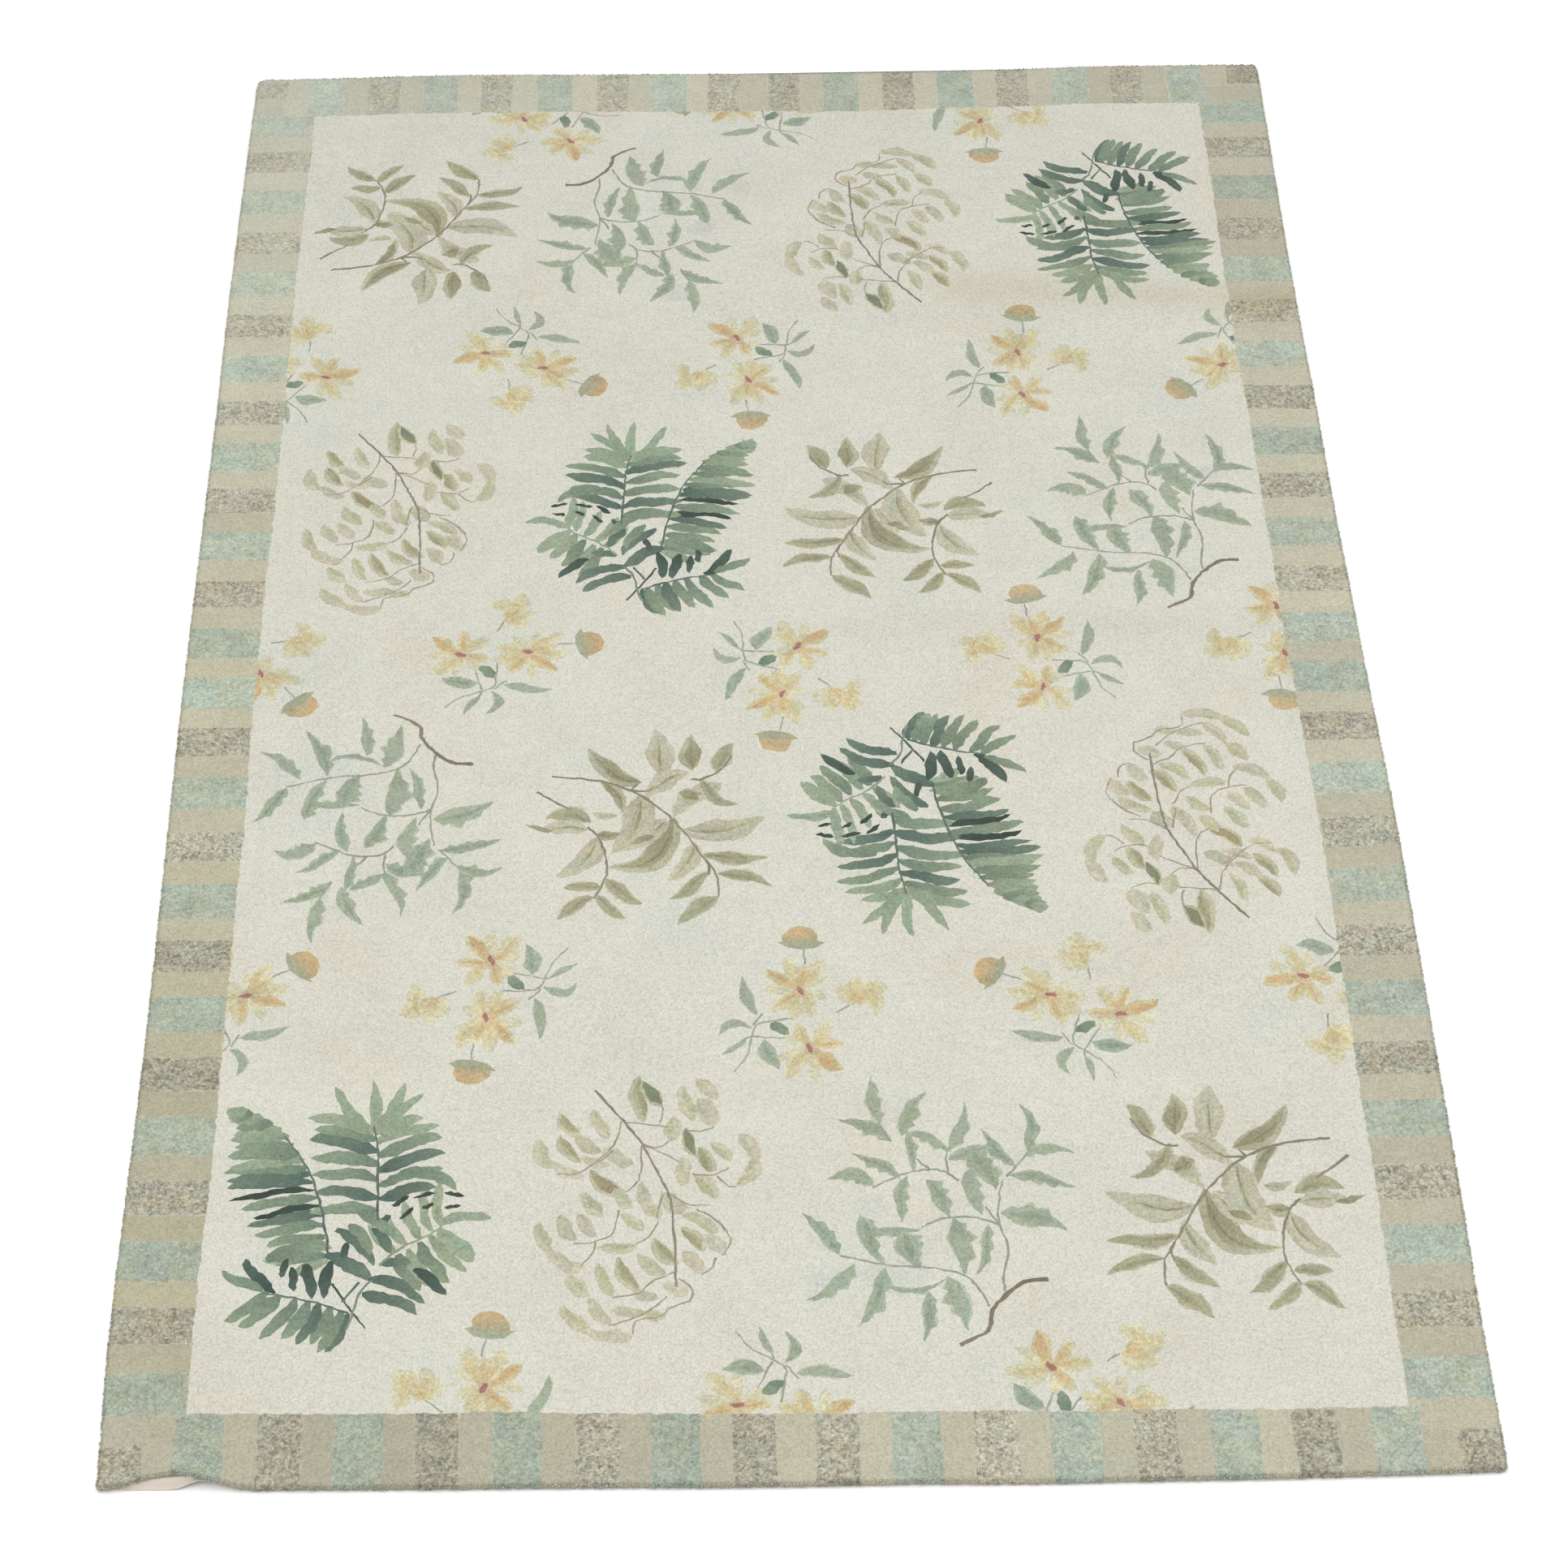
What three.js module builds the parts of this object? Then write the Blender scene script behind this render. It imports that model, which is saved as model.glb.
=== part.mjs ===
// A hooked wool rug with a striped border, lying flat on its cream backing cloth.
// Sizes are in millimetres. X runs across the rug, Y along it towards its far end, and Z up.
// The origin is on the floor, under the middle of the rug.
import * as THREE from "three";

const WIDTH = 1524;
const LENGTH = 2438;
const PILE_THICKNESS = 9.2;
const BACKING_THICKNESS = 1.5;
const BACKING_INSET = 3;
const SEAT_GAP = 0.3;
const PILE_UNDERSIDE = BACKING_THICKNESS + SEAT_GAP;

// How far each edge strays outwards from its straight line, at even steps along that edge:
// from left to right on the front and back, and from front to back on the left and right.
const EDGE_STRAY = {
  front: [-5, -2.8, -1.5, 0, 0.5, 2.5, 3.2, 2.8, 4.5, 3.6, 3, 1.5, -1],
  right: [-1.2, -1.2, 1, 1.8, 3, 3.6, 0.4, -1.7, -3.8, -3.8, -5.4, -5.2, -3.6, -2.2],
  back: [0, 1.6, 4.2, 3.8, 0.8, -0.8, -3.6, -6, -4.6, -2.6, 1.4, 1.6, 0],
  left: [-2.8, 2.2, 1.4, 0, 0.6, 2.2, 3.6, 3.4, 2.6, 2, 2.8, 2, 0.4, -1.8],
};

const CORNER_RADIUS = { frontLeft: 5, frontRight: 8, backRight: 10, backLeft: 14 };

// The rolled rim: how high the under and the upper face stand there, as parts of the thickness.
const RIM = [
  { inset: 0, under: 0.14, over: 0.5 },
  { inset: 1.4, under: 0, over: 0.84 },
  { inset: 4, under: 0, over: 0.97 },
  { inset: 9, under: 0, over: 1 },
];

// The front edge has come off its backing near the left corner and stands in a low arch.
const ARCH = { across: 87, halfSpan: 88, height: 17, reach: 95 };

// Under the arch the cloth's edge stays on the floor, and close behind it the cloth is drawn up.
// Further right its edge is drawn up too.
const CLOTH_RISE = { from: 3, to: 9, share: 0.92, rightFrom: 80, rightTo: 124 };

// Soft ridges left by folding, as distances from the front edge, strongest right of the middle.
const FOLD_RIDGES = [
  { along: 640, height: 0.8, halfWidth: 45 },
  { along: 1225, height: 0.9, halfWidth: 45 },
  { along: 1880, height: 1.1, halfWidth: 50 },
];

// Slow swells of the wool, with the lengths of their waves across and along the rug.
const SWELLS = [
  { height: 0.45, across: 760, along: 1130, turn: 0.4 },
  { height: 0.35, across: 430, along: 520, turn: 2.1 },
];

// Steps of the sheet's grid: short ones round the arch, longer ones over the rest.
const FINE_STEP = 11;
const ACROSS_STEP = 52;
const ALONG_STEP = 64;

const WOOL = { color: 0xdedbce, roughness: 0.95, metalness: 0 };
const COTTON = { color: 0xe6ddcd, roughness: 0.9, metalness: 0 };

function smooth(t) {
  const c = Math.min(1, Math.max(0, t));
  return c * c * (3 - 2 * c);
}

// A smooth curve through a table of values at even steps, for t from 0 to 1.
function alongTable(values, t) {
  const place = Math.min(1, Math.max(0, t)) * (values.length - 1);
  const i = Math.min(values.length - 2, Math.floor(place));
  const f = place - i;
  const before = values[Math.max(0, i - 1)];
  const after = values[Math.min(values.length - 1, i + 2)];
  const slopeIn = (values[i + 1] - before) / 2;
  const slopeOut = (after - values[i]) / 2;
  const change = values[i + 1] - values[i];
  const cubic = slopeIn + slopeOut - 2 * change;
  const square = 3 * change - 2 * slopeIn - slopeOut;
  return values[i] + f * (slopeIn + f * (square + f * cubic));
}

// Turns the square corner of two edges into a quarter circle. The arguments are the distances
// from those edges, and the result is the two distances after rounding.
function roundCorner(fromSide, fromEnd, radius) {
  const a = radius - fromSide;
  const b = radius - fromEnd;
  if (a <= 0 || b <= 0) return [fromSide, fromEnd];
  const shrink = Math.max(a, b) / Math.hypot(a, b);
  return [radius - a * shrink, radius - b * shrink];
}

// The place on the floor of a point that is `across` from the left edge and `along` from the front.
function planPoint(across, along) {
  const left = across < WIDTH / 2;
  const front = along < LENGTH / 2;
  const radius = CORNER_RADIUS[(front ? "front" : "back") + (left ? "Left" : "Right")];
  const [side, end] = roundCorner(left ? across : WIDTH - across, front ? along : LENGTH - along, radius);
  const u = (left ? side : WIDTH - side) / WIDTH;
  const v = (front ? end : LENGTH - end) / LENGTH;
  const leftStray = alongTable(EDGE_STRAY.left, v);
  const rightStray = alongTable(EDGE_STRAY.right, v);
  const frontStray = alongTable(EDGE_STRAY.front, u);
  const backStray = alongTable(EDGE_STRAY.back, u);
  return new THREE.Vector2(
    -WIDTH / 2 - leftStray + u * (WIDTH + leftStray + rightStray),
    -LENGTH / 2 - frontStray + v * (LENGTH + frontStray + backStray),
  );
}

function archLift(across, along) {
  const offset = (across - ARCH.across) / ARCH.halfSpan;
  if (Math.abs(offset) >= 1 || along >= ARCH.reach) return 0;
  return ARCH.height * Math.cos((offset * Math.PI) / 2) ** 2 * (1 - smooth(along / ARCH.reach));
}

function clothLift(across, along) {
  const behind = smooth((along - CLOTH_RISE.from) / (CLOTH_RISE.to - CLOTH_RISE.from));
  const right = smooth((across - CLOTH_RISE.rightFrom) / (CLOTH_RISE.rightTo - CLOTH_RISE.rightFrom));
  return CLOTH_RISE.share * archLift(across, along) * Math.max(behind, right);
}

// How much higher or lower than its even thickness the wool stands.
function surfaceRelief(across, along) {
  let relief = 0;
  for (const swell of SWELLS) {
    const wave = Math.sin((across / swell.across) * 2 * Math.PI + swell.turn);
    relief += swell.height * wave * Math.cos((along / swell.along) * 2 * Math.PI + swell.turn);
  }
  for (const ridge of FOLD_RIDGES) {
    const fade = 0.35 + 0.65 * smooth(across / (0.7 * WIDTH));
    relief += ridge.height * fade * Math.exp(-(((along - ridge.along) / ridge.halfWidth) ** 2));
  }
  return relief;
}

function rimShare(inset, face) {
  const next = RIM.findIndex((step) => step.inset >= inset);
  if (next < 0) return RIM[RIM.length - 1][face];
  if (next === 0) return RIM[0][face];
  const low = RIM[next - 1];
  const high = RIM[next];
  const f = (inset - low.inset) / (high.inset - low.inset);
  return low[face] + f * (high[face] - low[face]);
}

// Grid lines from one edge to the other: the rim's own, then fine ones, then long ones.
function gridLines(total, fineTo, step) {
  const rim = RIM.map((ring) => ring.inset);
  const last = rim[rim.length - 1];
  const lines = [...rim];
  const fineCount = Math.round((fineTo - last) / FINE_STEP);
  for (let i = 1; i <= fineCount; i++) lines.push(last + ((fineTo - last) * i) / fineCount);
  const longRun = total - last - fineTo;
  const longCount = Math.round(longRun / step);
  for (let i = 1; i <= longCount; i++) lines.push(fineTo + (longRun * i) / longCount);
  for (const inset of rim.slice(0, -1).reverse()) lines.push(total - inset);
  return lines;
}

// A closed sheet over the grid: an upper and a lower face that meet in a wall round the edge.
function sheetGeometry(columns, rows, upper, under) {
  const positions = [];
  for (const height of [upper, under]) {
    for (const along of rows) {
      for (const across of columns) {
        const plan = planPoint(across, along);
        positions.push(plan.x, plan.y, height(across, along));
      }
    }
  }
  const faces = [];
  const wide = columns.length;
  const layer = wide * rows.length;
  const quad = (a, b, c, d) => faces.push(a, b, c, a, c, d);
  for (let j = 0; j < rows.length - 1; j++) {
    for (let i = 0; i < wide - 1; i++) {
      const a = j * wide + i;
      quad(a, a + 1, a + wide + 1, a + wide);
      quad(layer + a, layer + a + wide, layer + a + wide + 1, layer + a + 1);
    }
  }
  for (let i = 0; i < wide - 1; i++) {
    const far = (rows.length - 1) * wide + i;
    quad(layer + i, layer + i + 1, i + 1, i);
    quad(layer + far + 1, layer + far, far, far + 1);
  }
  for (let j = 0; j < rows.length - 1; j++) {
    const near = j * wide;
    const right = near + wide - 1;
    quad(layer + near + wide, layer + near, near, near + wide);
    quad(layer + right, layer + right + wide, right + wide, right);
  }
  const geometry = new THREE.BufferGeometry();
  geometry.setAttribute("position", new THREE.Float32BufferAttribute(positions, 3));
  geometry.setIndex(faces);
  geometry.computeVertexNormals();
  return geometry;
}

function hookedPile() {
  const inset = (across, along) => Math.min(across, WIDTH - across, along, LENGTH - along);
  const faceHeight = (face) => (across, along) => {
    const share = rimShare(inset(across, along), face);
    const relief = face === "over" ? surfaceRelief(across, along) * share : 0;
    return PILE_UNDERSIDE + archLift(across, along) + PILE_THICKNESS * share + relief;
  };
  const columns = gridLines(WIDTH, ARCH.across + ARCH.halfSpan, ACROSS_STEP);
  const rows = gridLines(LENGTH, ARCH.reach, ALONG_STEP);
  return sheetGeometry(columns, rows, faceHeight("over"), faceHeight("under"));
}

// The pile's own grid lines inside the cloth's edges, with only every second long step.
function clothLines(total, fineTo, step) {
  const lines = gridLines(total, fineTo, step).filter((line) => line > BACKING_INSET && line < total - BACKING_INSET);
  const kept = lines.filter((line, i) => line <= fineTo || line > total - RIM[3].inset - 1 || i % 2 === 0);
  return [BACKING_INSET, ...kept, total - BACKING_INSET];
}

function backingCloth() {
  const columns = clothLines(WIDTH, ARCH.across + ARCH.halfSpan, ACROSS_STEP);
  const rows = clothLines(LENGTH, ARCH.reach, ALONG_STEP);
  return sheetGeometry(columns, rows, (s, t) => BACKING_THICKNESS + clothLift(s, t), clothLift);
}

function piece(name, geometry, finish) {
  const mesh = new THREE.Mesh(geometry, new THREE.MeshStandardMaterial(finish));
  mesh.name = name;
  return mesh;
}

const rug = new THREE.Group();
rug.name = "hooked_rug";
rug.add(piece("hooked_pile", hookedPile(), WOOL));
rug.add(piece("backing_cloth", backingCloth(), COTTON));

export default rug;
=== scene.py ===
"""Looks of a hooked wool rug: leaf sprigs and daisy sprays on ivory, inside a striped border.

Everything is drawn in millimetres on the rug's own plan, X across it and Y towards its far end, and
goes into the meshes in metres.
"""

import math
import random

import bmesh
import bpy
import numpy as np
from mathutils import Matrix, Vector
from mathutils.geometry import delaunay_2d_cdt


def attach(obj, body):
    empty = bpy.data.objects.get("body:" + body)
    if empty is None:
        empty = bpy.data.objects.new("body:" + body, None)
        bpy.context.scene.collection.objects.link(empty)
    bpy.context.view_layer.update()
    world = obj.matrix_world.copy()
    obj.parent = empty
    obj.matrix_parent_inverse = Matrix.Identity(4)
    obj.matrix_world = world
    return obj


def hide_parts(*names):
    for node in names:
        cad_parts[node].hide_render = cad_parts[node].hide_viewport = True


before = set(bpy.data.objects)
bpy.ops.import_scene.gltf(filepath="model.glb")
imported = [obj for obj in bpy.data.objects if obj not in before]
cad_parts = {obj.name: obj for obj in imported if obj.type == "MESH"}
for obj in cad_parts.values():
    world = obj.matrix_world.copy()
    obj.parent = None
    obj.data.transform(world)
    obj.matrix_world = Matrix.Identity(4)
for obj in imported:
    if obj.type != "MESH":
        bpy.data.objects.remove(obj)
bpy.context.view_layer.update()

MM = 0.001
WIDTH = 1524
LENGTH = 2438
HALF = np.array([WIDTH / 2, LENGTH / 2])


def show(name, data):
    """A new object of the scene, at the origin."""
    shown = bpy.data.objects.new(name, data)
    bpy.context.scene.collection.objects.link(shown)
    return shown


def mesh_of(bm, name):
    """The mesh of that bmesh, which is used up."""
    mesh = bpy.data.meshes.new(name)
    bm.to_mesh(mesh)
    bm.free()
    return mesh


# ------------------------------------------------------------------ camera, light and floor
FRAME_PX = 1932
FOCAL_PX = 4436.5
CAMERA_PLACE = (-79.34, -3206.26, 3410.20)
CAMERA_TURN = (0.7204, 0.0099, -0.0124)
CAMERA_SHIFT_PX = 80
SENSOR = 36
FLOOR_HALF = 30
FLOOR_DROP = 0.0004  # keeps the floor's face clear of the cloth's


def place_camera():
    data = bpy.data.cameras.new("view")
    data.sensor_width = SENSOR
    data.lens = FOCAL_PX * SENSOR / FRAME_PX
    data.shift_x = CAMERA_SHIFT_PX / FRAME_PX
    data.clip_end = 100
    camera = show("view", data)
    camera.location = [c * MM for c in CAMERA_PLACE]
    camera.rotation_euler = CAMERA_TURN
    bpy.context.scene.camera = camera


def soft_light(name, place, aim, size, power, colour):
    data = bpy.data.lights.new(name, "AREA")
    data.shape = "RECTANGLE"
    data.size, data.size_y = size
    data.energy = power
    data.color = colour
    light = show(name, data)
    light.location = place
    light.rotation_euler = (Vector(aim) - Vector(place)).to_track_quat("-Z", "Y").to_euler()


def light_the_studio():
    soft_light("overhead", (-0.6, -1.1, 5.6), (0, 0, 0), (6.5, 6.5), 345, (1, 1, 0.995))
    soft_light("side_fill", (4.2, 0.6, 2.8), (0, 0, 0), (3, 3), 40, (1, 1, 1))
    world = bpy.data.worlds.new("studio")
    world.use_nodes = True
    background = world.node_tree.nodes["Background"]
    background.inputs["Color"].default_value = (1, 1, 1, 1)
    background.inputs["Strength"].default_value = 0.46
    bpy.context.scene.world = world
    bpy.context.scene.view_settings.view_transform = "Standard"


def floor():
    bm = bmesh.new()
    bmesh.ops.create_grid(bm, x_segments=1, y_segments=1, size=FLOOR_HALF)
    mesh = mesh_of(bm, "floor")
    ground = show("floor", mesh)
    ground.location.z = -FLOOR_DROP
    material = bpy.data.materials.new("pale_floor")
    material.use_nodes = True
    shader = material.node_tree.nodes["Principled BSDF"]
    shader.inputs["Base Color"].default_value = (0.95, 0.95, 0.95, 1)
    shader.inputs["Roughness"].default_value = 0.9
    mesh.materials.append(material)


# ------------------------------------------------------------------ the rug's form
PILE_THICKNESS = 9.2
BACKING_THICKNESS = 1.5
BACKING_INSET = 3
SEAT_GAP = 0.3
PILE_UNDERSIDE = BACKING_THICKNESS + SEAT_GAP

# How far each edge strays outwards, at even steps: left to right, or front to back.
EDGE_STRAY = {
    "front": (-5, -2.8, -1.5, 0, 0.5, 2.5, 3.2, 2.8, 4.5, 3.6, 3, 1.5, -1),
    "right": (-1.2, -1.2, 1, 1.8, 3, 3.6, 0.4, -1.7, -3.8, -3.8, -5.4, -5.2, -3.6, -2.2),
    "back": (0, 1.6, 4.2, 3.8, 0.8, -0.8, -3.6, -6, -4.6, -2.6, 1.4, 1.6, 0),
    "left": (-2.8, 2.2, 1.4, 0, 0.6, 2.2, 3.6, 3.4, 2.6, 2, 2.8, 2, 0.4, -1.8),
}
CORNER_RADIUS = {"frontLeft": 5, "frontRight": 8, "backRight": 10, "backLeft": 14}

# The rolled rim: distance from the edge, then the heights of the under and the upper face there.
RIM = ((0, 0.14, 0.5), (1.4, 0, 0.84), (4, 0, 0.97), (9, 0, 1))
UNDER, OVER = 1, 2
LOOP_STAND = 1.2  # how far the loops of the outermost row stand out from the pile's wall
ARCH_SET_BACK = 9  # how far the pile's edge is drawn back where it arches
SET_BACK_REACH = 60  # how far from the edge that is felt

ARCH = {"across": 87, "half_span": 88, "height": 17, "reach": 95}
# The cloth is drawn up close behind the arch's edge, and further right its edge is drawn up too.
CLOTH_RISE = {"start": 3, "end": 9, "share": 0.92, "right_start": 80, "right_end": 124}
FOLD_RIDGES = ((640, 0.8, 45), (1225, 0.9, 45), (1880, 1.1, 50))  # along, height, half width
RIDGE_LEFT_SHARE = 0.35  # how much of a ridge is left at the left edge
RIDGE_FULL_ACROSS = 0.7  # the share of the width from which it stands in full
SWELLS = ((0.45, 760, 1130, 0.4), (0.35, 430, 520, 2.1))  # height, wave across, wave along, turn


def smooth(t):
    c = min(1, max(0, t))
    return c * c * (3 - 2 * c)


def along_table(values, t):
    """A smooth curve through values at even steps."""
    place = min(1, max(0, t)) * (len(values) - 1)
    i = min(len(values) - 2, int(place))
    f = place - i
    before = values[max(0, i - 1)]
    after = values[min(len(values) - 1, i + 2)]
    slope_in = (values[i + 1] - before) / 2
    slope_out = (after - values[i]) / 2
    change = values[i + 1] - values[i]
    cubic = slope_in + slope_out - 2 * change
    square = 3 * change - 2 * slope_in - slope_out
    return values[i] + f * (slope_in + f * (square + f * cubic))


def round_corner(from_side, from_end, radius):
    """Turns a square corner into a quarter circle; the arguments are distances from its two edges."""
    a, b = radius - from_side, radius - from_end
    if a <= 0 or b <= 0:
        return from_side, from_end
    shrink = max(a, b) / math.hypot(a, b)
    return radius - a * shrink, radius - b * shrink


def plan_point(across, along):
    """Where a point of the square drawing lies on the floor, with the rug's uneven edges."""
    left, front = across < WIDTH / 2, along < LENGTH / 2
    radius = CORNER_RADIUS[("front" if front else "back") + ("Left" if left else "Right")]
    from_side = across if left else WIDTH - across
    from_end = along if front else LENGTH - along
    side, end = round_corner(from_side, from_end, radius)
    u = (side if left else WIDTH - side) / WIDTH
    v = (end if front else LENGTH - end) / LENGTH
    stray_left, stray_right = (along_table(EDGE_STRAY[edge], v) for edge in ("left", "right"))
    stray_front, stray_back = (along_table(EDGE_STRAY[edge], u) for edge in ("front", "back"))
    return (
        -WIDTH / 2 - stray_left + u * (WIDTH + stray_left + stray_right),
        -LENGTH / 2 - stray_front + v * (LENGTH + stray_front + stray_back),
    )


def arched(full, across, along, reach):
    """A value that is full at the edge in the middle of the arch, and fades out round it."""
    offset = (across - ARCH["across"]) / ARCH["half_span"]
    if abs(offset) >= 1 or along >= reach:
        return 0
    return full * math.cos(offset * math.pi / 2) ** 2 * (1 - smooth(along / reach))


def set_back(across, along):
    return arched(ARCH_SET_BACK, across, along, SET_BACK_REACH)


def arch_lift(across, along):
    return arched(ARCH["height"], across, along, ARCH["reach"])


def wool_point(across, along):
    """The pile's place on the floor: its wall stands back behind the outermost loops."""
    return plan_point(
        LOOP_STAND + across * (1 - 2 * LOOP_STAND / WIDTH),
        LOOP_STAND + along * (1 - 2 * LOOP_STAND / LENGTH) + set_back(across, along),
    )


def cloth_right(across):
    """How much of the cloth's own edge is drawn up there."""
    run = CLOTH_RISE["right_end"] - CLOTH_RISE["right_start"]
    return smooth((across - CLOTH_RISE["right_start"]) / run)


def cloth_lift(across, along):
    behind = smooth((along - CLOTH_RISE["start"]) / (CLOTH_RISE["end"] - CLOTH_RISE["start"]))
    return CLOTH_RISE["share"] * arch_lift(across, along) * max(behind, cloth_right(across))


def surface_relief(across, along):
    """How much higher or lower than its even thickness the wool stands."""
    relief = 0
    for height, wave_across, wave_along, turn in SWELLS:
        relief += (
            height
            * math.sin(across / wave_across * 2 * math.pi + turn)
            * math.cos(along / wave_along * 2 * math.pi + turn)
        )
    for ridge, height, half_width in FOLD_RIDGES:
        fade = smooth(across / (RIDGE_FULL_ACROSS * WIDTH))
        fade = RIDGE_LEFT_SHARE + (1 - RIDGE_LEFT_SHARE) * fade
        relief += height * fade * math.exp(-(((along - ridge) / half_width) ** 2))
    return relief


def rim_share(inset, face):
    """The height of a face of the rolled rim, as a share of the thickness."""
    for low, high in zip(RIM, RIM[1:]):
        if inset <= high[0]:
            f = max(0, inset - low[0]) / (high[0] - low[0])
            return low[face] + f * (high[face] - low[face])
    return RIM[-1][face]


def pile_height(across, along, face):
    inset = min(across, WIDTH - across, along, LENGTH - along)
    share = rim_share(inset, face)
    relief = surface_relief(across, along) * share if face == OVER else 0
    return PILE_UNDERSIDE + arch_lift(across, along) + PILE_THICKNESS * share + relief


# ------------------------------------------------------------------ yarns, as sRGB 0-255
YARN = {
    "ivory": (218, 217, 204), "shade": (206, 208, 199), "fern_light": (144, 159, 134),
    "fern_mid": (117, 134, 116), "fern_deep": (88, 107, 98), "fern_dark": (64, 81, 71),
    "fern_black": (56, 66, 58), "fern_new": (158, 171, 147), "sage": (164, 174, 153),
    "sage_deep": (150, 163, 142), "sage_pale": (180, 188, 171), "olive": (171, 169, 140),
    "olive_deep": (146, 142, 113), "olive_pale": (192, 191, 168), "olive_rose": (187, 180, 160),
    "oat": (199, 196, 172), "oat_green": (186, 187, 156), "oat_rose": (204, 194, 175),
    "oat_deep": (165, 160, 129), "oat_grey": (184, 184, 162), "moss": (132, 138, 112),
    "tan": (163, 145, 115), "twig": (136, 131, 112), "twig_rose": (162, 150, 132),
    "twig_grey": (152, 157, 143), "twig_pale": (158, 164, 150), "bark": (128, 117, 98),
    "gold": (206, 185, 141), "straw": (211, 202, 164), "cream": (214, 209, 180), "amber": (203, 175, 133),
    "madder": (170, 122, 106), "blush": (205, 186, 160), "rust": (206, 176, 133),
    "bud_green": (176, 168, 136), "grey": (177, 172, 154), "aqua": (176, 184, 167),
    "aqua_blue": (175, 183, 168), "beige": (192, 188, 168), "beige_gold": (190, 185, 156),
    "faded": (200, 204, 192),
}
FIELD_HEATHER = 0.08


def mix(a, b, f):
    return tuple(x + (y - x) * f for x, y in zip(a, b))


class Shape:
    """One patch of yarn: its outline, its colour at both ends of an axis, and its heathering."""

    def __init__(self, outline, tones, axis, heather):
        self.outline, self.tones, self.axis, self.heather = outline, tones, axis, heather


# ------------------------------------------------------------------ drawing in yarn
def route_point(points, t):
    """A point on a smooth line through all the given points."""
    place = min(1, max(0, t)) * (len(points) - 1)
    i = min(len(points) - 2, int(place))
    f = place - i
    a, b, c, d = (points[min(len(points) - 1, max(0, j))] for j in (i - 1, i, i + 1, i + 2))
    return tuple(
        0.5 * (2 * q + (r - p) * f + (2 * p - 5 * q + 4 * r - s) * f * f + (3 * q - p - 3 * r + s) * f**3)
        for p, q, r, s in zip(a, b, c, d)
    )


def spread(a, b, n):
    return [a + (b - a) * k / (n - 1) for k in range(n)]


def three_way(values, t):
    """A value that runs in two straight lines through a start, a middle and an end."""
    a, b, c = values
    return a + (b - a) * 2 * t if t < 0.5 else b + (c - b) * (2 * t - 1)


def arc(t):
    return max(0, math.sin(math.pi * t))


PROFILES = {  # how full a blade is from its base to its tip
    "lance": lambda t: arc(t**0.85) ** 0.8,
    "toothed": lambda t: arc(t**0.75) ** 1.05,
    "strap": lambda t: min(1, 3.2 * t + 0.35) * max(0, 1 - t**6) ** 0.8,
    "oval": lambda t: arc(t**0.9) ** 0.55,
    "petal": lambda t: min(1, 0.34 + 1.2 * t) * max(0, 1 - t**5) ** 0.7,
}


FULLNESS = 1.1  # how much wider the hooked blades come out than they are drawn
OUTLINE_STEP = 6.0  # between the corners of an outline, about two loops
BLADE_WAVE = 0.13  # how much a blade's half width wavers along it
BLADE_SWING = 0.03  # how far a blade may bend both ways, as a share of its length
TOOTH_ROOT, TOOTH_RISE = 0.62, 0.8  # a toothed side's width at a notch, and how much it grows from there
PLAIN_SIDE = 0.8  # the width of a toothed leaf's other side
STEM_STRAY = 0.9
STEM_FADE = 0.15  # how much ivory a twig takes on towards its tip
STEM_HEATHER = 0.2
STEM_ROUGHNESS = 0.25
LEAF_ROUGHNESS = 1.2  # how far a corner of a leaf's outline strays
LEAF_HEATHER = 0.3
TONE_STRAY = 0.02


def clockwise(outline):
    following = outline[1:] + outline[:1]
    return sum(p[0] * q[1] - q[0] * p[1] for p, q in zip(outline, following)) < 0


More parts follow.
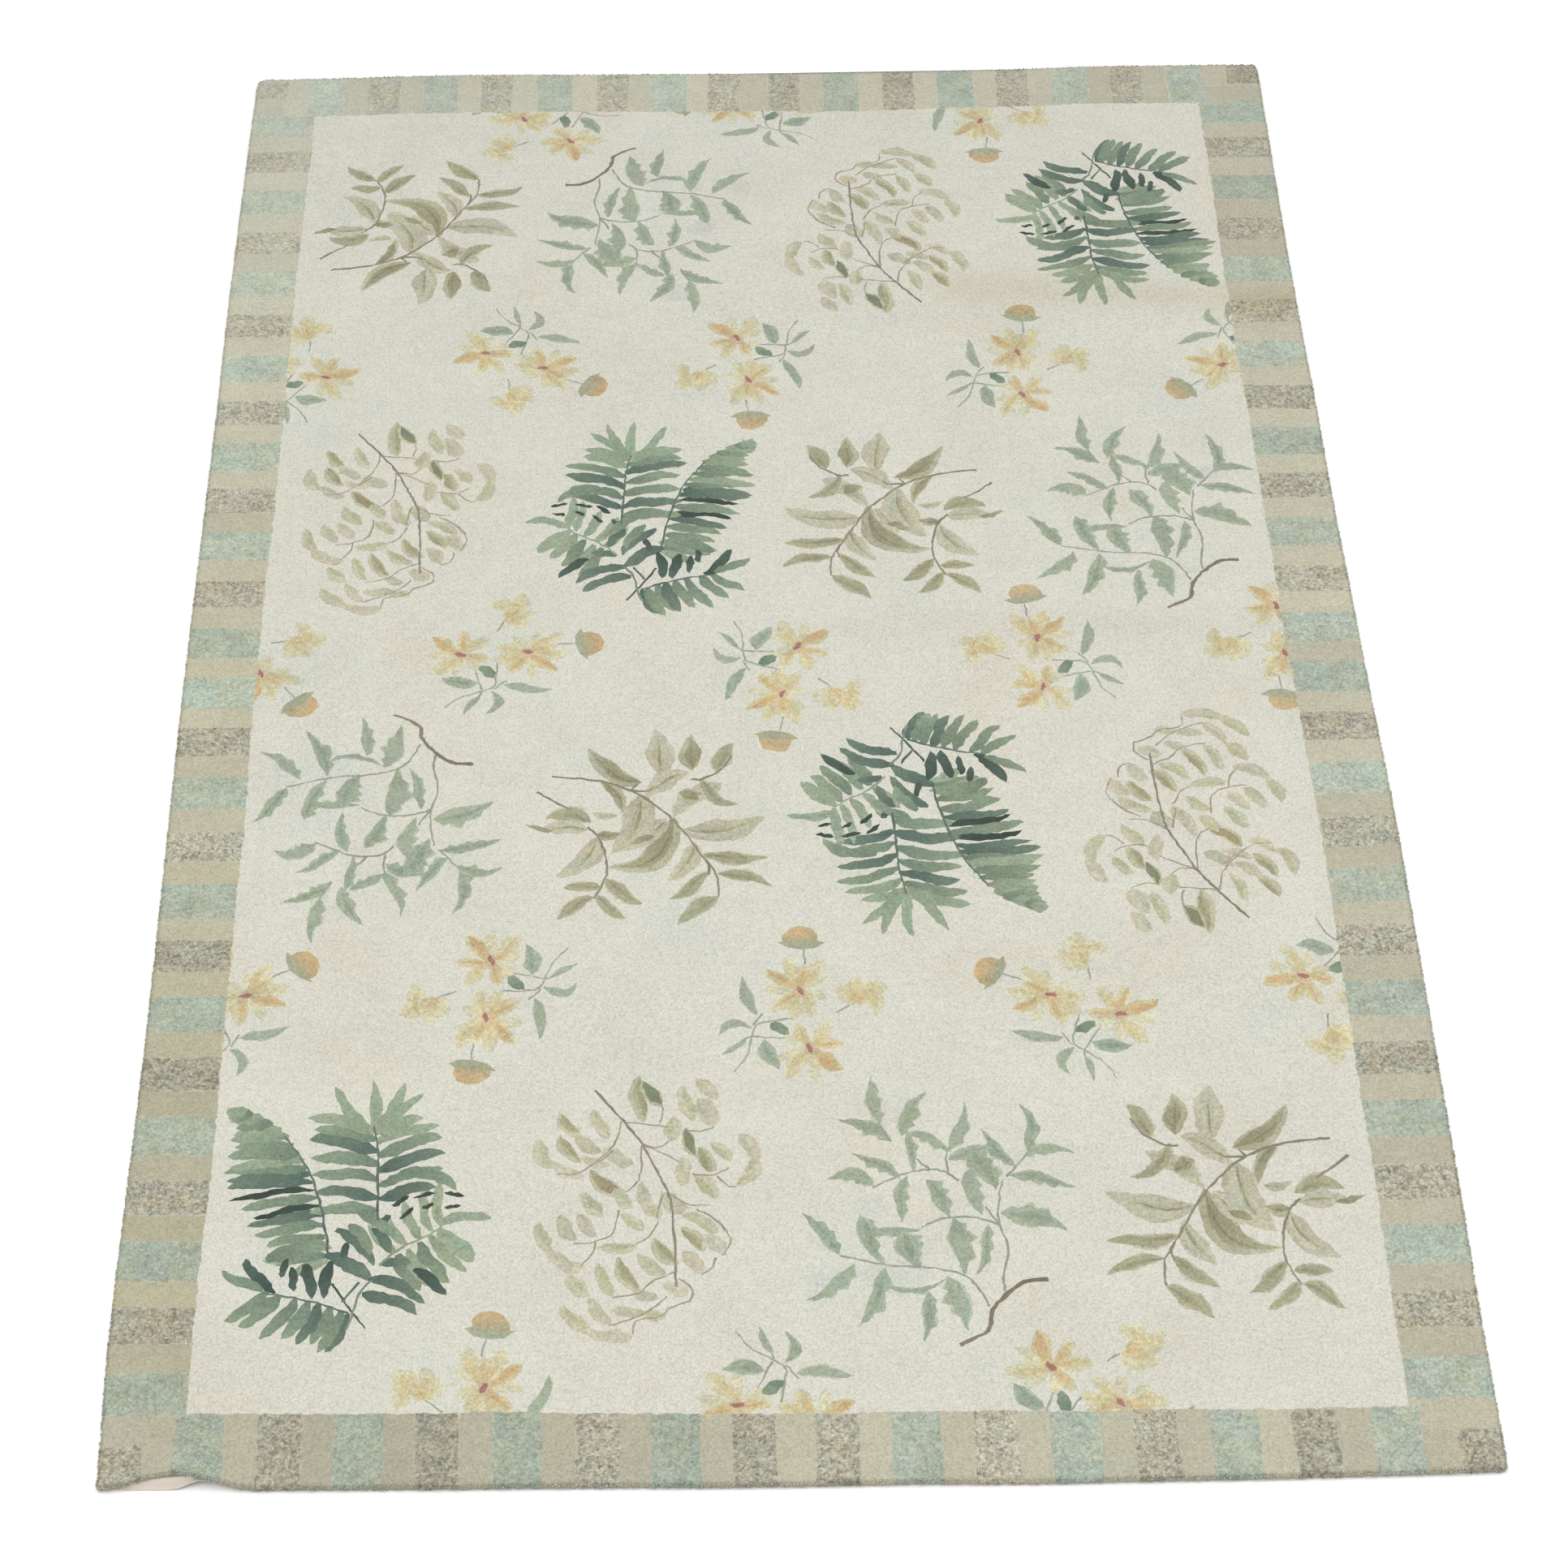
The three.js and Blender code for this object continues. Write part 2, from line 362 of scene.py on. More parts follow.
class Drawing:
    """Yarn patches in the order in which they lie over each other."""

    def __init__(self, seed):
        self.shapes = []
        self.random = random.Random(seed)

    def add(self, outline, tones, axis, heather=LEAF_HEATHER, rough=LEAF_ROUGHNESS):
        """A patch whose corners each stray by up to rough, and whose tones vary a little together."""
        tones = tuple(YARN[t] if isinstance(t, str) else t for t in tones)
        shade = 1 + self.random.uniform(-TONE_STRAY, TONE_STRAY)
        tones = tuple(tuple(c * shade for c in t) for t in tones)
        if clockwise(outline):
            outline = outline[::-1]
        wander = self.random.uniform
        outline = [(x + wander(-rough, rough), y + wander(-rough, rough)) for x, y in outline]
        self.shapes.append(Shape(outline, tones, axis, heather))

    def stem(self, points, width, tip_width, yarn):
        """A twig along a route, a little uneven in width and place."""
        n = max(3, round(sum(math.dist(p, q) for p, q in zip(points, points[1:])) / OUTLINE_STEP))
        left, right = [], []
        for k in range(n + 1):
            t = k / n
            x, y = route_point(points, t)
            a, b = route_point(points, t - 0.02), route_point(points, t + 0.02)
            turn = math.atan2(b[1] - a[1], b[0] - a[0])
            half = 0.5 * (width + (tip_width - width) * t) * self.random.uniform(0.7, 1.3)
            x += self.random.uniform(-STEM_STRAY, STEM_STRAY)
            y += self.random.uniform(-STEM_STRAY, STEM_STRAY)
            left.append((x - math.sin(turn) * half, y + math.cos(turn) * half))
            right.append((x + math.sin(turn) * half, y - math.cos(turn) * half))
        tone = YARN[yarn]
        tones = (tone, mix(tone, YARN["ivory"], STEM_FADE))
        self.add(left + right[::-1], tones, (points[0], points[-1]), STEM_HEATHER, STEM_ROUGHNESS)

    def blade(self, base, tip, width, bow, profile, lobes, lobe_side):
        """A function from (share along, share across) to a place, and the number of steps."""
        length = math.dist(base, tip)
        ux, uy = (tip[0] - base[0]) / length, (tip[1] - base[1]) / length
        shape = PROFILES[profile]
        phase = self.random.uniform(0.0, 0.35)
        swing = self.random.uniform(-BLADE_SWING, BLADE_SWING)
        waves = [self.random.uniform(0, 2 * math.pi) for _ in range(2)]

        def place(t, s):
            off = bow * length * 4 * t * (1 - t) + swing * length * math.sin(2 * math.pi * t)
            turn = math.atan(bow * 4 * (1 - 2 * t))
            waver = 1 + BLADE_WAVE * math.sin(9 * t + waves[s > 0])
            half = 0.5 * FULLNESS * width * shape(t) * waver
            if lobes:
                beat = (t * lobes + phase) % 1.0
                half *= TOOTH_ROOT + TOOTH_RISE * beat**1.2 if s * lobe_side > 0 else PLAIN_SIDE
            x = base[0] + ux * length * t - uy * off
            y = base[1] + uy * length * t + ux * off
            nx = -math.sin(turn) * ux - math.cos(turn) * uy
            ny = -math.sin(turn) * uy + math.cos(turn) * ux
            return x + nx * half * s, y + ny * half * s

        return place, max(6, round(length / OUTLINE_STEP))

    def band(self, blade, tones, start, end, low, high, taper=True):
        """The part of a blade between two shares along it and two across it."""
        place, n = blade
        m = max(2, round(n * (end - start)))
        one, two = [], []
        for k in range(m + 1):
            t = start + (end - start) * k / m
            open_ = arc(k / m) ** 0.5 if taper else 1
            middle = (low + high) / 2
            one.append(place(t, middle + (high - middle) * open_))
            two.append(place(t, middle + (low - middle) * open_))
        if taper:
            two = two[1:-1]
        self.add(one + two[::-1], tones, (place(start, 0), place(end, 0)))

    def leaf(self, base, tip, width, bow, dress, profile, lobes=0, side=1):
        """A leaf in one of the dresses: its soft rim, its body, and the shades along its rib."""
        blade = self.blade(base, tip, width, bow, profile, lobes, side)
        for start, end, low, high, tones in DRESSES[dress]:
            if low == "all":
                self.band(blade, tones, 0, 1, -1 - high, 1 + high, taper=False)
            else:
                a, b = (low, high) if side > 0 else (-high, -low)
                self.band(blade, tones, start, end, a, b)


# Each dress is a list of bands: start and end along the blade, low and high across it, and the tones
# at its base and tip. "all" is the whole blade, grown by the next value.
DRESSES = {
    "fern_light": ((0, 1, "all", 0, ("fern_light", "fern_new")),),
    "fern_mid": ((0, 1, "all", 0, ("fern_mid", "fern_light")),),
    "fern_deep": ((0, 1, "all", 0, ("fern_deep", "fern_mid")),),
    "fern_dark": ((0, 1, "all", 0, ("fern_dark", "fern_deep")),),
    "fern_black": ((0, 1, "all", -0.38, ("fern_dark", "fern_black")),),
    "fern_new": (
        (0, 1, "all", 0, ("fern_new", "fern_new")), (0.1, 0.8, -0.3, 0.3, ("fern_light", "fern_new")),
    ),
    "sage": ((0, 1, "all", 0.12, ("sage_pale", "sage_pale")), (0, 1, "all", -0.1, ("sage", "sage"))),
    "sage_shaded": (
        (0, 1, "all", 0.1, ("sage_pale", "sage_pale")), (0, 1, "all", -0.1, ("sage", "sage")),
        (0.1, 0.85, -0.25, 0.4, ("sage_deep", "sage_deep")),
    ),
    "olive": (
        (0, 1, "all", 0.12, ("olive_pale", "olive_pale")), (0, 1, "all", -0.12, ("olive", "olive")),
        (0.05, 0.85, -0.1, 0.5, ("olive_deep", "olive")),
    ),
    "olive_light": (
        (0, 1, "all", 0.12, ("olive_rose", "oat")), (0.02, 0.98, -0.85, 0.5, ("olive_pale", "olive_pale")),
        (0.05, 0.95, -0.1, 0.42, ("olive", "olive_pale")),
        (0.08, 0.8, -0.05, 0.14, ("olive_deep", "olive")),
    ),
    "olive_dark": (
        (0, 1, "all", 0.08, ("olive", "olive_pale")), (0.02, 0.97, -0.5, 0.95, ("olive_deep", "olive")),
        (0.1, 0.8, -0.1, 0.15, ("twig", "olive_deep")),
    ),
    "olive_plain": ((0, 1, "all", 0.0, ("olive_deep", "olive")),),
    "oat": ((0, 1, "all", 0.1, ("oat", "oat")), (0.05, 0.95, -0.95, 0.1, ("oat_green", "oat_green"))),
    "oat_rose": ((0, 1, "all", 0.1, ("oat_rose", "oat")), (0.1, 0.9, -0.9, 0.0, ("oat", "oat_grey"))),
    "oat_grey": ((0, 1, "all", 0.1, ("oat_grey", "oat")),),
    "oat_deep": (
        (0, 1, "all", 0.1, ("oat", "oat_green")), (0.0, 0.95, -0.95, 0.45, ("oat_green", "oat_deep")),
        (0.1, 0.9, -0.95, -0.1, ("oat_deep", "oat_deep")),
    ),
    "moss": ((0, 1, "all", 0.1, ("oat_green", "oat_green")), (0.02, 0.98, -0.9, 0.7, ("moss", "moss"))),
    "tan": ((0, 1, "all", 0.1, ("oat_rose", "oat_green")), (0.02, 0.95, -0.9, 0.7, ("tan", "oat_deep"))),
    "gold": (
        (0, 1, "all", 0.12, ("gold", "cream")), (0, 0.92, -0.8, 0.5, ("gold", "straw")),
        (0.15, 0.85, -0.5, 0.1, ("amber", "gold")),
    ),
    "straw": ((0, 1, "all", 0.15, ("straw", "cream")), (0, 0.85, -0.75, 0.3, ("gold", "straw"))),
    "amber": (
        (0, 1, "all", 0.12, ("gold", "straw")), (0.1, 0.97, -0.9, 0.5, ("gold", "amber")),
        (0.3, 0.95, -0.6, 0.1, ("amber", "amber")),
    ),
    "cream": ((0, 1, "all", 0.0, ("cream", "cream")), (0, 0.6, -0.6, 0.3, ("straw", "cream"))),
    "blush": ((0, 1, "all", 0, ("blush", "blush")),),
    "madder": ((0, 1, "all", 0, ("madder", "madder")),),
}


# ------------------------------------------------------------------ fern
# Each frond: its rib, the number of leaflets, their lengths and angles at the start, middle and end
# of the rib, width, bow, and their dresses in turn.
FERN_FRONDS = (
    (
        ((-24, -62), (-33, -10), (-46, 34), (-62, 72), (-90, 114), (-132, 139)),
        20, (66, 102, 22), (194, 184, 186), 15, -0.04,
        "mid light mid mid deep black mid black deep deep "
        "mid light mid mid light light mid light mid light",
    ),
    (
        ((30, -4), (28, 40), (25, 80), (20, 108)),
        7, (78, 84, 78), (178, 171, 166), 16.5, -0.07,
        "mid deep mid mid deep mid light",
    ),
    (
        ((30, 14), (28, 46), (25, 80), (20, 106)),
        6, (70, 84, 62), (16, 16, 20), 15, 0.07,
        "deep mid deep mid light light",
    ),
    (
        ((4, -140), (-20, -128), (-50, -121), (-88, -110)),
        8, (54, 62, 58), (244, 248, 218), 14.5, 0.05,
        "deep mid mid deep mid mid mid mid",
    ),
    (
        ((56, -62), (80, -46), (100, -28)),
        5, (60, 62, 62), (298, 304, 314), 16, -0.04,
        "mid light mid light new",
    ),
    (
        ((52, -58), (80, -40), (102, -24)),
        5, (50, 58, 66), (132, 112, 92), 11.5, 0.05,
        "light new light new new",
    ),
)
FERN_LEAFLETS = (
    # x, y at the base, x, y at the tip, width, bow, dress
    (16, 104, -30, 173, 13, 0.05, "light"), (17, 106, 14, 183, 12, -0.05, "new"),
    (18, 112, 51, 179, 12, -0.08, "light"), (20, 108, 75, 162, 12, 0.03, "light"),
    (46, 4, 64, 18, 10, 0, "black"), (70, 16, 96, 22, 8, 0, "black"), (104, 22, 128, 17, 8, 0, "black"),
    (56, -14, 70, 2, 9, 0, "black"), (80, 0, 94, 8, 8, 0, "black"), (106, 1, 124, 4, 8, 0, "black"),
    (34, -18, 44, -8, 8, 0, "dark"), (52, 50, 118, 24, 15, 0.16, "mid"),
    (100, -22, 160, -14, 12, 0.12, "new"), (100, -30, 142, -70, 13, 0.08, "new"),
    (74, -82, 114, -117, 12, 0.05, "dark"), (38, -76, 72, -72, 11, 0.08, "deep"),
    (-92, -70, -18, -52, 19, 0.10, "mid"), (-26, -62, 28, -98, 17, 0.08, "deep"),
    (-60, -88, -20, -70, 13, 0.08, "light"), (-70, -66, -74, -92, 8, 0, "dark"),
    (-62, -78, -59, -111, 9, 0, "dark"), (-48, -74, -38, -120, 13, 0.04, "dark"),
    (-18, -70, -24, -120, 13, -0.06, "dark"), (-2, -44, -8, -70, 8, 0, "dark"),
    (-16, -27, 30, -78, 13, 0.10, "deep"), (-2, -20, 24, -62, 13, 0.10, "mid"),
    (26, -26, 48, -62, 12, 0.06, "deep"), (6, -2, 52, -40, 13, 0.06, "mid"),
    (24, -96, 90, -127, 14, 0.12, "deep"), (18, -115, 82, -143, 14, 0.10, "deep"),
    (-80, -112, -116, -64, 13, 0.08, "dark"), (-92, -108, -143, -80, 11, 0.04, "mid"),
)
FERN_STEMS = (
    ("dark", ((-16, -100), (-2, -122), (10, -140), (24, -160))),
    ("deep", ((14, -98), (2, -116), (-3, -124))),
    ("mid", ((28, -96), (14, -114), (10, -138), (3, -162))),
    ("deep", ((4, -140), (-24, -128), (-60, -118), (-94, -112))),
    ("light", ((36, -76), (58, -54), (86, -38), (104, -24))),
    ("deep", ((30, -16), (27, 40), (25, 80), (18, 116))),
    ("deep", ((-22, -68), (-32, -10), (-52, 52), (-84, 104))),
)
# How far a frond's leaflets stray in length, angle and width.
FROND_LENGTH, FROND_ANGLE, FROND_WIDTH = (0.92, 1.08), (-3, 3), (0.85, 1.1)


def fern(d):
    """Fronds of leaflets along their ribs, with more leaflets between them."""
    for rib, count, lengths, angles, width, bow, dresses in FERN_FRONDS:
        dresses = dresses.split()
        for k, t in enumerate(spread(0, 1, count)):
            x, y = route_point(rib, t)
            length = three_way(lengths, t) * d.random.uniform(*FROND_LENGTH)
            angle = math.radians(three_way(angles, t) + d.random.uniform(*FROND_ANGLE))
            tip = (x + length * math.cos(angle), y + length * math.sin(angle))
            dress = "fern_" + dresses[k % len(dresses)]
            d.leaf((x, y), tip, width * d.random.uniform(*FROND_WIDTH), bow, dress, "strap")
    for x, y, tip_x, tip_y, width, bow, dress in FERN_LEAFLETS:
        d.leaf((x, y), (tip_x, tip_y), width, bow, "fern_" + dress, "strap")
    for yarn, route in FERN_STEMS:
        d.stem(route, 3.2, 2.4, "fern_" + yarn)


# ------------------------------------------------------------------ olive-leaved branch
OLIVE_LEAVES = (
    # x, y at the base, x, y at the tip, width, bow, dress
    (-55, 88, 2, 44, 22, 0.10, "olive_light"), (-96, 68, -34, 12, 22, 0.10, "olive_light"),
    (-70, 78, -116, 33, 16, 0.20, "olive"), (-20, 82, -12, 161, 29, 0.04, "olive_light"),
    (-60, 90, -58, 151, 23, -0.03, "olive_dark"), (-88, 88, -113, 136, 21, -0.06, "olive"),
    (3, 70, 72, 130, 23, -0.14, "olive_dark"), (-66, 40, -40, 54, 23, 0, "olive_dark"),
    (-44, -8, -148, 14, 29, 0.12, "olive_light"), (-68, -48, -150, -54, 17, 0.05, "olive"),
    (-86, -80, -153, -100, 15, -0.10, "olive"), (-60, -28, -26, -90, 21, -0.12, "olive_light"),
    (-76, -76, -28, -120, 17, -0.06, "olive"), (-88, -116, -38, -160, 20, 0.06, "olive"),
    (-34, 16, 50, -68, 30, -0.27, "olive_dark"), (-26, 10, 6, -38, 19, 0.05, "olive_light"),
    (6, 52, 44, -46, 36, -0.14, "olive_light"), (-10, -18, 20, -34, 10, 0.08, "olive_plain"),
    (56, 72, 28, 16, 15, -0.14, "olive_dark"), (34, 16, 68, 22, 10, -0.14, "olive_light"),
    (64, -16, 30, -12, 14, 0.1, "olive_dark"), (72, -8, 130, -4, 21, 0.06, "olive_light"),
    (68, 4, 126, 10, 21, 0.20, "olive"), (114, -8, 151, 1, 7.7, -0.06, "olive_plain"),
    (60, -18, 112, -82, 24, -0.16, "olive_light"), (50, -86, 5, -127, 18, 0.08, "olive"),
    (56, -100, 102, -101, 15, 0.05, "olive"), (60, -112, 24, -150, 15, 0.10, "olive"),
    (64, -116, 109, -152, 16, 0.08, "olive"),
)
ROUND_LEAF = 7  # the one leaf of this sprig that isn't pointed
OLIVE_STEMS = (
    ((118, 81), (62, 74), (16, 56), (-22, 22), (-46, -10), (-66, -46), (-86, -82), (-88, -116)),
    ((16, 57), (-4, 57), (-12, 64)), ((18, 58), (10, 68)), ((136, 56), (116, 40), (96, 27)),
    ((74, -3), (60, -18), (50, -52), (50, -86), (64, -118)),
    ((-58, 76), (-72, 76), (-96, 92), (-110, 116)), ((-74, -58), (-78, -72), (-76, -82)),
)


def olive(d):
    for k, (x, y, tip_x, tip_y, width, bow, dress) in enumerate(OLIVE_LEAVES):
        profile = "oval" if k == ROUND_LEAF else "lance"
        d.leaf((x, y), (tip_x, tip_y), width, bow, dress, profile, side=-1 if bow > 0 else 1)
    for route in OLIVE_STEMS:
        d.stem(route, 3.4, 2.6, "twig")


# ------------------------------------------------------------------ sage-leaved branch
SAGE_LEAVES = (
    # x, y at the base, x, y at the tip, width, bow, lobes, the side they are on
    (-64, 114, -72, 183, 17.3, 0.05, 2, -1), (-52, 88, -113, 120, 17.3, -0.10, 3, 1),
    (-44, 36, -98, 72, 15.4, -0.06, 3, 1), (-74, 26, -127, 36, 21.1, -0.22, 3, 1),
    (-40, 96, -9, 158, 19.2, 0.10, 2, -1), (-34, 102, -29, 44, 13.4, 0.04, 3, 1),
    (-30, 102, 16, 72, 14.4, 0.05, 3, -1), (-36, 40, -44, -26, 15.4, -0.08, 3, 1),
    (-14, 34, 10, -20, 22.1, 0.06, 3, 1), (12, 74, 35, 143, 16.3, -0.08, 2, -1),
    (12, 62, 70, 80, 19.2, 0.05, 3, -1), (36, 74, 66, 20, 32.6, 0.04, 3, 1),
    (38, 50, 48, -16, 22.1, -0.08, 3, 1), (90, 52, 52, 106, 15.4, 0.06, 3, 1),
    (104, 70, 98, 140, 16.3, -0.14, 2, -1), (100, 66, 157, 68, 14.4, 0.16, 3, -1),
    (80, 40, 157, 21, 15.4, 0.05, 3, -1), (68, -12, 144, -40, 27.8, 0.08, 3, 1),
    (14, -18, 22, -98, 26.9, 0.05, 3, 1), (54, -28, 36, -98, 14.4, 0.06, 3, 1),
    (-92, -14, -66, -80, 22.1, -0.05, 3, 1), (-84, -42, -22, -36, 12.5, 0.05, 2, -1),
    (-44, -36, -26, -88, 28.8, -0.05, 3, 1), (-116, -68, -157, -10, 18.2, -0.05, 3, -1),
    (-100, -80, -154, -128, 17.3, 0.10, 3, 1), (-66, -86, -98, -163, 20.2, 0.08, 2, 1),
    (-66, -108, 4, -100, 8.8, -0.18, 2, -1), (4, -98, 24, -170, 25.9, 0.05, 3, -1),
    (-18, -118, -27, -184, 16.3, 0.06, 3, 1),
)
SAGE_TWIGS = (
    ((68, -118), (68, -96), (74, -60), (66, -28), (67, 2), (72, 32)),
    ((50, -138), (30, -102), (-4, -88), (-62, -82), (-116, -68)),
    ((67, -28), (38, -18), (4, -20), (-22, -32)), ((22, 32), (10, 44), (-12, 48), (-40, 42), (-76, 24)),
    ((12, 44), (10, 60), (12, 76)), ((-10, 48), (-26, 66)), ((78, 38), (90, 52), (104, 70)),
    ((-52, 88), (-60, 100), (-66, 118)), ((66, -26), (56, -12), (52, -2)),
)
SAGE_BRANCH = ((118, -103), (90, -106), (64, -128), (51, -148), (46, -170), (14, -188))
SAGE_SHADES = (
    # x, y, size
    (-82, -2, 30), (-52, 138, 32), (92, 62, 24), (-48, -96, 40), (-130, -104, 26), (-20, -58, 26),
    (-70, 112, 24),
)
SHADE_RINGS = ((1.0, 0.2), (0.72, 0.45))  # size, share of the cooler ivory
SHADE_CORNERS = 14
SHADE_FLATNESS = 0.7


def soft_shade(d, x, y, size):
    """A faint cloud of a cooler ivory behind the leaves, in two rings."""
    for grow, share in SHADE_RINGS:
        ring = []
        for turn in spread(0, 2 * math.pi * (SHADE_CORNERS - 1) / SHADE_CORNERS, SHADE_CORNERS):
            reach = size * grow * d.random.uniform(0.75, 1.15)
            ring.append((x + reach * math.cos(turn), y + SHADE_FLATNESS * reach * math.sin(turn)))
        tone = mix(YARN["ivory"], YARN["shade"], share)
        d.add(ring, (tone, tone), ((x, y), (x + 1, y)), FIELD_HEATHER)


def sage(d):
    for x, y, size in SAGE_SHADES:
        soft_shade(d, x, y, size)
    for k, (x, y, tip_x, tip_y, width, bow, lobes, side) in enumerate(SAGE_LEAVES):
        dress = "sage_shaded" if k % 3 else "sage"
        d.leaf((x, y), (tip_x, tip_y), width, bow, dress, "toothed", lobes + 1, side)
    for route in SAGE_TWIGS:
        d.stem(route, 2.9, 2.3, "twig_grey")
    d.stem(SAGE_BRANCH, 5.4, 4.6, "bark")


# ------------------------------------------------------------------ pale-leaved branch
PALE_LEAVES = (
    # x, y at the base, x, y at the tip, width, bow, dress
    (-76, 98, -100, 133, 14.4, 0.10, "oat_deep"), (-42, 94, -61, 139, 13.5, 0.06, "oat"),
    (-74, 62, -100, 101, 14.4, 0.10, "oat_deep"), (-106, 54, -123, 99, 15.3, 0.14, "oat"),
    (-70, 42, -107, 64, 12.6, 0.14, "oat_rose"), (-50, 76, -82, 104, 13.5, 0.10, "oat_grey"),
    (-14, 60, -49, 82, 16.2, 0.08, "oat_grey"), (-40, 58, -75, 71, 11.7, 0.08, "oat_rose"),
    (-20, 12, -63, 53, 16.2, 0.08, "tan"), (-14, 0, -36, 26, 14.4, 0.08, "oat"),
    (-4, 118, -8, 187, 17.1, 0.05, "oat_deep"), (20, 142, -4, 179, 16.2, 0.06, "moss"),
    (26, 92, 32, 127, 18, -0.08, "oat"), (56, 120, 42, 172, 15.3, 0.05, "oat"),
    (78, 112, 61, 153, 20.7, -0.06, "oat_rose"), (82, 150, 58, 182, 16.2, -0.06, "oat_rose"),
    (58, 70, 45, 111, 12.6, 0.04, "moss"), (76, 46, 61, 83, 15.3, -0.06, "oat_deep"),
    (40, 28, 44, 71, 16.2, -0.04, "oat_rose"), (82, 10, 56, 47, 16.2, -0.05, "oat"),
    (99, 62, 74, 90, 13.5, -0.08, "oat"), (128, 60, 106, 103, 16.2, -0.10, "oat_rose"),
    (104, 28, 128, 67, 14.4, -0.14, "oat"), (42, -10, 18, 20, 19.8, -0.05, "oat_grey"),
    (10, -14, -5, 36, 14.4, 0.05, "oat_rose"), (-2, -34, -30, -8, 13.5, -0.06, "oat"),
    (-46, -14, -72, 23, 16.2, 0.08, "oat"), (-54, -40, -78, -8, 14.4, 0.04, "oat_rose"),
    (-76, -46, -97, -9, 14.4, 0.10, "oat_grey"), (-104, -62, -120, -19, 14.4, 0.10, "oat"),
    (-66, -82, -111, -56, 15.3, 0.14, "oat_rose"), (-8, -52, -56, -56, 13.5, 0.05, "oat"),
    (40, -78, 10, -41, 15.3, 0.12, "oat_deep"), (28, -90, -9, -62, 13.5, 0.12, "oat"),
    (68, -62, 40, -27, 14.4, -0.08, "oat_deep"), (84, -36, 41, -10, 13.5, -0.08, "oat"),
    (92, -66, 66, -38, 16.2, -0.08, "oat_rose"), (64, -92, 42, -60, 15.3, -0.08, "oat_rose"),
    (-2, -114, -30, -66, 14.4, 0.12, "oat_deep"), (-34, -120, -53, -75, 13.5, 0.06, "oat"),
    (-60, -120, -86, -90, 15.3, 0.10, "oat"), (-36, -158, -62, -121, 13.5, 0.08, "oat_rose"),
    (-58, -166, -93, -131, 15.3, 0.10, "oat"), (-10, -172, -66, -163, 14.4, 0.10, "oat_rose"),
    (2, -140, -39, -138, 11.7, 0.05, "oat_grey"), (26, -146, -4, -142, 11.7, 0.05, "oat"),
    (48, -120, 20, -105, 17.1, -0.10, "oat_rose"), (16, -124, -14, -111, 11.7, 0.05, "oat_grey"),
    (18, -18, 5, 8, 12.6, 0.0, "oat"), (116, 44, 125, 70, 11.7, -0.1, "oat"),
)
PALE_TWIGS = (
    ((-28, 120), (-34, 92), (-50, 70), (-76, 48), (-100, 46)), ((-25, 118), (0, 116), (26, 112)),
    ((16, 118), (20, 132), (18, 142)), ((-3, 87), (16, 83), (30, 94)), ((-3, 86), (20, 75), (40, 62)),
    ((-5, 86), (-5, 50), (-12, 30), (-26, 20)), ((-38, 78), (-54, 62)), ((28, 18), (50, 4), (74, 2)),
    ((58, -2), (84, -20), (97, -46), (88, -66)), ((66, -6), (86, -24), (90, -34)),
    ((-30, -4), (-36, -36), (-60, -48), (-80, -50)), ((-56, -46), (-60, -66), (-72, -80)),
    ((16, -20), (4, -42), (-10, -50)), ((36, -88), (10, -100), (-6, -116), (-36, -122)),
    ((38, -96), (54, -110), (52, -126), (30, -135), (20, -146), (-8, -152), (-12, -170)),
    ((26, -120), (10, -136), (-8, -147), (-38, -158)), ((80, -68), (77, -84), (64, -92)),
    ((46, 108), (64, 106), (80, 112)), ((54, 46), (78, 44), (96, 54)), ((82, 42), (94, 30), (104, 28)),
    ((20, 18), (16, 0), (14, -14)),
)
PALE_BRANCH = ((-60, 165), (-26, 120), (-4, 88), (16, 44), (28, 14), (33, -30), (36, -108))


def pale(d):
    for x, y, tip_x, tip_y, width, bow, dress in PALE_LEAVES:
        d.leaf((x, y), (tip_x, tip_y), width, bow, dress, "oval", side=1 if bow > 0 else -1)
    for route in PALE_TWIGS:
        d.stem(route, 2.2, 1.8, "twig_rose")
    d.stem(PALE_BRANCH, 3.2, 2.8, "twig")


# ------------------------------------------------------------------ daisy spray
DAISY_PETALS = (
    # flower, x, y of the tip, width, bow, dress
    (0, 34, 42, 14, 0.04, "cream"), (0, 30, 6, 14, 0.05, "cream"), (0, -46, 22, 15, -0.04, "cream"),
    (0, -15, 73, 17, 0.04, "straw"), (0, 25, 73, 17, -0.05, "straw"), (0, 14, -19, 16, 0.04, "straw"),
    (0, -8, -23, 17, -0.04, "straw"), (0, -36, -8, 18, 0.05, "gold"), (0, -41, 56, 14, 0.05, "amber"),
    (0, 5, 62, 17, 0.03, "gold"), (1, -29, -78, 17, 0.05, "cream"), (1, -22, -46, 16, -0.05, "cream"),
    (1, 14, -110, 16, 0.05, "cream"), (1, -18, -110, 18, -0.04, "straw"),
    (1, 33, -22, 16, -0.05, "straw"), (1, -6, -26, 15, 0.05, "gold"), (1, 53, -56, 14, 0.04, "gold"),
    (1, 48, -97, 18, -0.04, "amber"),
)
DAISY_HEADS = ((0, 24), (9, -62))
DAISY_LEAVES = (
    (-52, -16, -70, 44, 12.6, 0.06, "sage"), (-60, -34, -99, -46, 10.9, -0.32, "sage"),
    (-66, -48, -95, -74, 7.6, 0.06, "sage"), (-44, -50, -28, -94, 17.6, -0.08, "sage_shaded"),
    (-38, -26, -15, -47, 14.3, 0.06, "fern_mid"),
)
DAISY_STEMS = (
    ((-10, -20), (-34, -24), (-54, -30), (-60, -50), (-66, -76), (-80, -97)), ((-46, -12), (-58, -30)),
    ((-58, -46), (-40, -48), (-16, -50)), ((-60, -46), (-78, -58), (-94, -74)), ((7, 62), (5, 86)),
    ((42, -12), (64, 2)),
)
